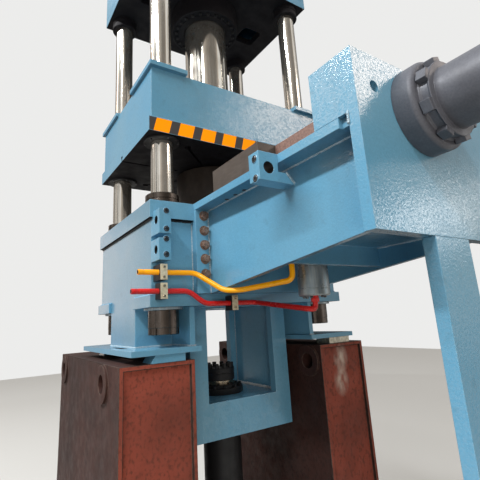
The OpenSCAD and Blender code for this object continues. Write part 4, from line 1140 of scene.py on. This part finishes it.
up, down, front, left = (0, 0, 1), (0, 0, -1), (0, -1, 0), (-1, 0, 0)
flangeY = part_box("bracket_flange")[0].y * 1000
endBoxTop = heights("bracket_end_plate")[1]
mainLow, mainHigh = heights("main_cylinder")
blockSpots = (grid([-567], [-545], (2110, 2023), front) + grid([-567], [-541], (1976, 1903), front)
              + grid([-472], [-1134], (2158, 2084), left))
clampSpots = [spot for x, z in clamps["places"]
              for spot in grid([x], [clamps["front"]], [z - clamps["screw"], z + clamps["screw"]], front)]
bushingSpots = [spot for x, y in columnSpots
                for spot in circle(6, 88, (x, y, heights("platen_bushings")[0]), down)]
fasteners = {
    "flange_bolts": {
        "head": hexHead(37, 22, 2), "finish": "boltSteel",
        "spots": grid((-337, 337), [flangeY], (2120, 2042, 1968, 1897, 1822), front),
    },
    "head_flange_bolts": {
        "head": hexHead(36, 22, 4), "finish": "boltSteel",
        "spots": circle(16, 272, (0, 0, crownTop + mainLook["flangeHeight"]), up),
    },
    "foot_bolts": {
        "head": hexHead(30, 18, 4), "finish": "boltSteel",
        "spots": grid((-130, 130), (-1565, -1467), [20], up),
    },
    "injection_flange_bolts": {
        "head": hexHead(17, 11, 2), "finish": "blackSteel",
        "spots": circle(12, 124, (0, 0, flangeTop), up, 15),
    },
    "injection_head_bolts": {
        "head": capHead(26, 26), "finish": "blackSteel", "spots": circle(10, 74, (0, 0, headFloor), up, 12),
    },
    "ring_screws": {
        "head": capHead(13, 10), "finish": "blackSteel", "spots": circle(8, 98, (0, 0, headLow), up, 10),
    },
    "gland_screws": {
        "head": capHead(20, 12), "finish": "blackSteel",
        "spots": circle(24, 213, (0, 0, mainLow + mainLook["ringDepth"]), down, 7),
    },
    "block_screws": {"head": capHead(22, 3), "finish": "screwSteel", "spots": blockSpots},
    # painted shade: black sockets in the screws and black wells round them in their counterbores
    "screw_sockets": {"head": capHead(11, 4), "finish": "blackSteel", "spots": blockSpots},
    "screw_well_shadows": {"head": capHead(30, 1), "finish": "blackSteel", "spots": blockSpots},
    # painted highlight: a light rim round each counterbore
    "screw_rim_highlights": {"head": capHead(34, 0.4), "finish": "paintedBead", "spots": blockSpots},
    # painted shade: flat black discs where the table's holes are
    "table_holes": {
        "head": capHead(20, 0.6), "finish": "blackSteel",
        "spots": grid([-326], (-850, -778, -702), [2149], down),
    },
    "clamp_screws": {"head": capHead(12, 5), "finish": "bandSteel", "spots": clampSpots},
    "gib_screws": {
        "head": capHead(30, 6), "finish": "screwSteel",
        "spots": grid((-323, 323), [-690 - 76 * k for k in range(5)], [heights("cross_slide")[1]], up),
    },
    "end_box_screws": {
        "head": capHead(30, 6), "finish": "screwSteel",
        "spots": grid((-330, -200, 200, 330), (-1385, -1465), [endBoxTop], up),
    },
    "crown_plugs": {
        "head": hexHead(36, 22, 4), "finish": "boltSteel",
        "spots": circle(12, 190, (0, 0, mainHigh - 26), up),
    },
    "hung_screws": {
        "head": capHead(13, 8), "finish": "screwSteel", "spots": circle(6, 48, (0, hungY, hungLow), down),
    },
    "side_cap_screws": {
        "head": capHead(24, 10), "finish": "blackSteel",
        "spots": circle(8, 76, (sideAxis[0], sideAxis[1] - sideCap, sideAxis[2]), front, 22.5),
    },
    "cover_screws": {
        "head": capHead(18, 5), "finish": "screwSteel", "body": "moving_platen",
        "spots": grid((-600, -416, 416, 600), (-460, -158, 158, 460), [heights("platen_covers")[1]], up),
    },
    "bushing_screws": {
        "head": capHead(10, 5), "finish": "screwSteel", "body": "moving_platen", "spots": bushingSpots,
    },
}
for name, look in fasteners.items():
    values = dict(look["head"]["sizes"], Seed=7, Finish=finishes[look["finish"]])
    places, facings = zip(*look["spots"])
    mesh = grown(name, places, [], facings, look["head"]["tree"], values)
    placePiece(name, mesh, look["finish"], look.get("body", "press_frame"))
print("fasteners set:", sum(len(look["spots"]) for look in fasteners.values()))


# Weld seams: lines in mm that the beads follow
def seams(*lines):
    verts, edges = [], []
    for line in lines:
        edges += [(len(verts) + k, len(verts) + k + 1) for k in range(len(line) - 1)]
        verts += line
    return verts, edges


def rim(x, y, z):
    return [(-x, -y, z), (x, -y, z), (x, y, z), (-x, y, z), (-x, -y, z)]


sides = (-1, 1)
platenSeam = heights("platen_box")[0]
tableLow = heights("bracket_table")[0]
flangeX, flangeBack = (v * 1000 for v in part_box("bracket_flange")[1].xy)
# the edges that the seams follow, in mm
bedX, bedY, legY, legX, gapX = 604, 442, 216, 404, 375
footSeam, lastLegY = 1484, 430
webOut, webIn, endY = 309.5, 284.5, -1499
shelfSeam, endBoxLow, endBoxSeam, endBoxX = 1884, 2149, 2185, 384
lugX, lugFront, lugBack, lugLow, lugHigh = 345, -1159, -1096, 2080, 2116
frameX, frameY, floorX, floorY = 270, 215, 268, 212
welds = {
    "platen_welds": {"body": "moving_platen", "width": 0.009, "lines": [rim(bedX, 455, platenSeam + 1)]},
    # painted shadow: a black bead along the shadow under the bed's top plate
    "plate_shadow_line": {"width": 0.013, "finish": "blackSteel", "lines": [rim(bedX, bedY, plateLow - 4)]},
    "bed_welds": {
        "width": 0.011,
        "lines": [rim(325, 265, ledge - 1)] + [
            [(-bedX, side * legY, wallLow + 1), (-bedX, side * bedY, wallLow + 1),
             (bedX, side * bedY, wallLow + 1), (bedX, side * legY, wallLow + 1)] for side in sides],
    },
    "flange_welds": {
        "width": 0.009, "finish": "weldBead",
        "lines": [[(side * flangeX, flangeBack - 1, z) for z in (wallLow + 20, plateLow - 20)]
                  for side in sides],
    },
    "bracket_welds": {
        "width": 0.012, "finish": "weldBead",
        "lines": [line for side in sides for line in (
            [(side * webOut, flangeY, wallLow + 4), (side * webOut, flangeY, tableLow),
             (side * webOut, endY, tableLow), (side * webOut, endY, wallLow + 112)],
            [(side * webIn, flangeY, shelfSeam), (side * webIn, endY, shelfSeam)],
            [(side * endBoxX, endY, endBoxSeam), (side * endBoxX, endY, endBoxLow),
             (side * webOut, endY, endBoxLow)])] + [
            [(-lugX, lugBack, lugHigh), (-webOut, lugBack, lugLow),
             (-webOut, lugFront, lugLow), (-lugX, lugFront, lugHigh)]],
    },
    "frame_welds": {
        "width": 0.012, "finish": "weldBead",
        "lines": [[(-frameX, frameY, floorTop + 2), (frameX, frameY, floorTop + 2)]] + [
            [(x, y, floorTop), (x, y, ledge)] for x in (-frameX, frameX) for y in (-frameY, frameY)],
    },
    "floor_welds": {
        "width": 0.020, "finish": "brightBead",
        "lines": [[(side * floorX, y, floorTop + 3) for y in (floorY, -floorY)] for side in sides],
    },
    "leg_welds": {
        "width": 0.011, "finish": "weldBead",
        "lines": [[(side * (bedX - 1), 0, footSeam), (side * (bedX - 1), end * legY, footSeam),
                   (side * legX, end * legY, footSeam), (side * legX, end * lastLegY, footSeam),
                   (side * gapX, end * lastLegY, footSeam)] for side in sides for end in sides],
    },
}
for name, look in welds.items():
    bead = look.get("finish", "paintedBead")
    values = {"Pitch": look["width"] * 0.55, "Width": look["width"], "Seed": 5, "Finish": finishes[bead]}
    mesh = grown(name, *seams(*look["lines"]), None, weldBeads, values)
    placePiece(name, mesh, bead, look.get("body", "press_frame"), smooth=180)
    print(name, len(mesh.polygons))


# Floor, light and background
studio = {
    "floor": (214, 214, 212), "bounce": (52, 51, 50), "floorSize": 14, "floorDrop": 0.0005,
    "background": (0.84, 0.84, 0.83, 1), "sky": 0.62, "ground": 0.05, "day": (1.0, 0.94, 0.87),
    "key": {
        "place": (-7.0, -1.1, 9.7), "aim": (-0.3, -0.8, 2.0), "size": (11.0, 0.6), "power": 1450,
        "tint": (0.97, 0.99, 1.0),
    },
    "fill": {
        "place": (-1.6, -6.5, 2.6), "aim": (0.0, -0.6, 1.7), "size": (3.0, 1.6), "power": 70,
        "tint": (1.0, 0.90, 0.79),
    },
    "lowFill": {
        "place": (-2.6, -4.6, 0.5), "aim": (-0.3, -0.3, 1.5), "size": (1.6, 0.8), "power": 40,
        "tint": (1.0, 0.92, 0.82),
    },
}
windows = {  # seen only in reflections
    "right": {
        "place": (5.0, -5.4, 6.5), "aim": (0.0, -0.9, 2.6), "size": (2.6, 1.8), "power": 96,
        "tint": (1.0, 0.84, 0.74),
    },
    "lowRight": {
        "place": (6.4, -5.4, 3.4), "aim": (-0.2, -1.5, 1.9), "size": (1.8, 1.0), "power": 26,
        "tint": (1, 1, 1),
    },
    "left": {
        "place": (-5.4, 3.0, 6.4), "aim": (-0.4, -1.4, 2.3), "size": (2.0, 2.0), "power": 34,
        "tint": (1.0, 0.84, 0.74),
    },
    "lowLeft": {
        "place": (-2.55, 7.9, 2.9), "aim": (-0.6, 0.0, 1.9), "size": (1.5, 2.6), "power": 14,
        "tint": (1.0, 0.84, 0.76),
    },
}
# Uprights round the press that only reflections see: from and to, in degrees off the camera, and shade
cards = {
    "rows": [
        (-178, -150, 0.30), (-150, -124, 0.42), (-122, -106, 0.10), (-106, -92, 0.30), (-92, -86, 0.12),
        (-80, -62, 0.40), (-56, -45, 0.10), (-36, -30, 0.22), (-12, -4, 0.55), (-4, 6, 0.40), (6, 20, 0.24),
        (20, 50, 0.16), (50, 60, 0.20), (60, 68, 0.50), (88, 98, 0.45), (104, 114, 0.12), (121, 178, 0.03),
    ],
    "reach": 9.0, "heights": (-1.0, 12.0), "step": 6, "tint": (1.0, 0.9, 0.8),
}


def cameraShare(bench):  # 1 for what the camera, a mirror or glass sees directly
    path = bench.tree.nodes.new("ShaderNodeLightPath").outputs
    seen = bench.reckon("MAXIMUM", path["Is Camera Ray"], path["Is Glossy Ray"])
    return bench.reckon("MAXIMUM", seen, path["Is Transmission Ray"])


def stageMesh(name, work, made):
    mesh = bpy.data.meshes.new(name)
    work.to_mesh(mesh)
    work.free()
    mesh.materials.append(made.material)
    thing = bpy.data.objects.new(name, mesh)
    bpy.context.scene.collection.objects.link(thing)
    return thing


def makeFloor():
    made = Finish("studioFloor")
    colour = made.mix(cameraShare(made), tone(*studio["bounce"]), tone(*studio["floor"]))
    made.set(Base_Color=colour, Roughness=0.8)
    work = bmesh.new()
    bmesh.ops.create_grid(work, x_segments=4, y_segments=4, size=studio["floorSize"])
    stageMesh("floor", work, made).location.z = -studio["floorDrop"]


def makeWorld():
    world = bpy.data.worlds.new("studio")
    bpy.context.scene.world = world
    world.use_nodes = True
    bench = Bench(world.node_tree)
    way = bench.node("ShaderNodeTexCoord", "Generated", {})
    height = bench.node("ShaderNodeSeparateXYZ", 2, {0: way})
    feeds = {0: height, 1: 0.0, 2: 0.6, 3: studio["ground"], 4: studio["sky"]}
    share = bench.node("ShaderNodeMapRange", 0, feeds)
    seen = cameraShare(bench)
    feeds = {0: seen, 6: (*studio["day"], 1), 7: studio["background"]}
    light = bench.node("ShaderNodeMix", 2, feeds, data_type="RGBA")
    back = bench.tree.nodes["Background"]
    bench.feed(back.inputs["Color"], light)
    bench.feed(back.inputs["Strength"], bench.node("ShaderNodeMix", 0, {0: seen, 2: share, 3: 1.0}))


def makeLight(name, look):
    lamp = bpy.data.lights.new(name, "AREA")
    lamp.shape = "RECTANGLE"
    lamp.size, lamp.size_y = look["size"]
    lamp.energy = look["power"]
    lamp.color = look["tint"]
    thing = bpy.data.objects.new(name, lamp)
    thing.location = look["place"]
    thing.rotation_mode = "QUATERNION"
    thing.rotation_quaternion = (Vector(look["aim"]) - Vector(look["place"])).to_track_quat("-Z", "Y")
    bpy.context.scene.collection.objects.link(thing)
    return thing


def onlyReflected(thing):
    thing.visible_camera = thing.visible_diffuse = thing.visible_shadow = False
    thing.visible_transmission = thing.visible_volume_scatter = False


def makeCards():
    start = math.atan2(view["place"][1], view["place"][0])
    for index, (a, b, shade) in enumerate(cards["rows"]):
        made = Finish("cardPaint%d" % index)
        colour = [shade * share for share in cards["tint"]] + [1]
        made.set(Base_Color=(0, 0, 0, 1), Roughness=1.0, Emission_Color=colour, Emission_Strength=1.0)
        steps = max(1, round(abs(b - a) / cards["step"]))
        turns = [start + math.radians(a + (b - a) * k / steps) for k in range(steps + 1)]
        work = bmesh.new()
        rows = [[work.verts.new((math.cos(t) * cards["reach"], math.sin(t) * cards["reach"], z))
                 for z in cards["heights"]] for t in turns]
        for p, q in zip(rows, rows[1:]):
            work.faces.new([p[0], q[0], q[1], p[1]])
        onlyReflected(stageMesh("card%d" % index, work, made))


makeFloor()
makeWorld()
makeCards()
makeLight("key", studio["key"])
makeLight("fill", studio["fill"]).visible_glossy = False
makeLight("lowFill", studio["lowFill"]).visible_glossy = False
for name, look in windows.items():
    onlyReflected(makeLight(name, look))
bpy.context.scene.view_settings.view_transform = "Standard"
print("studio lit")
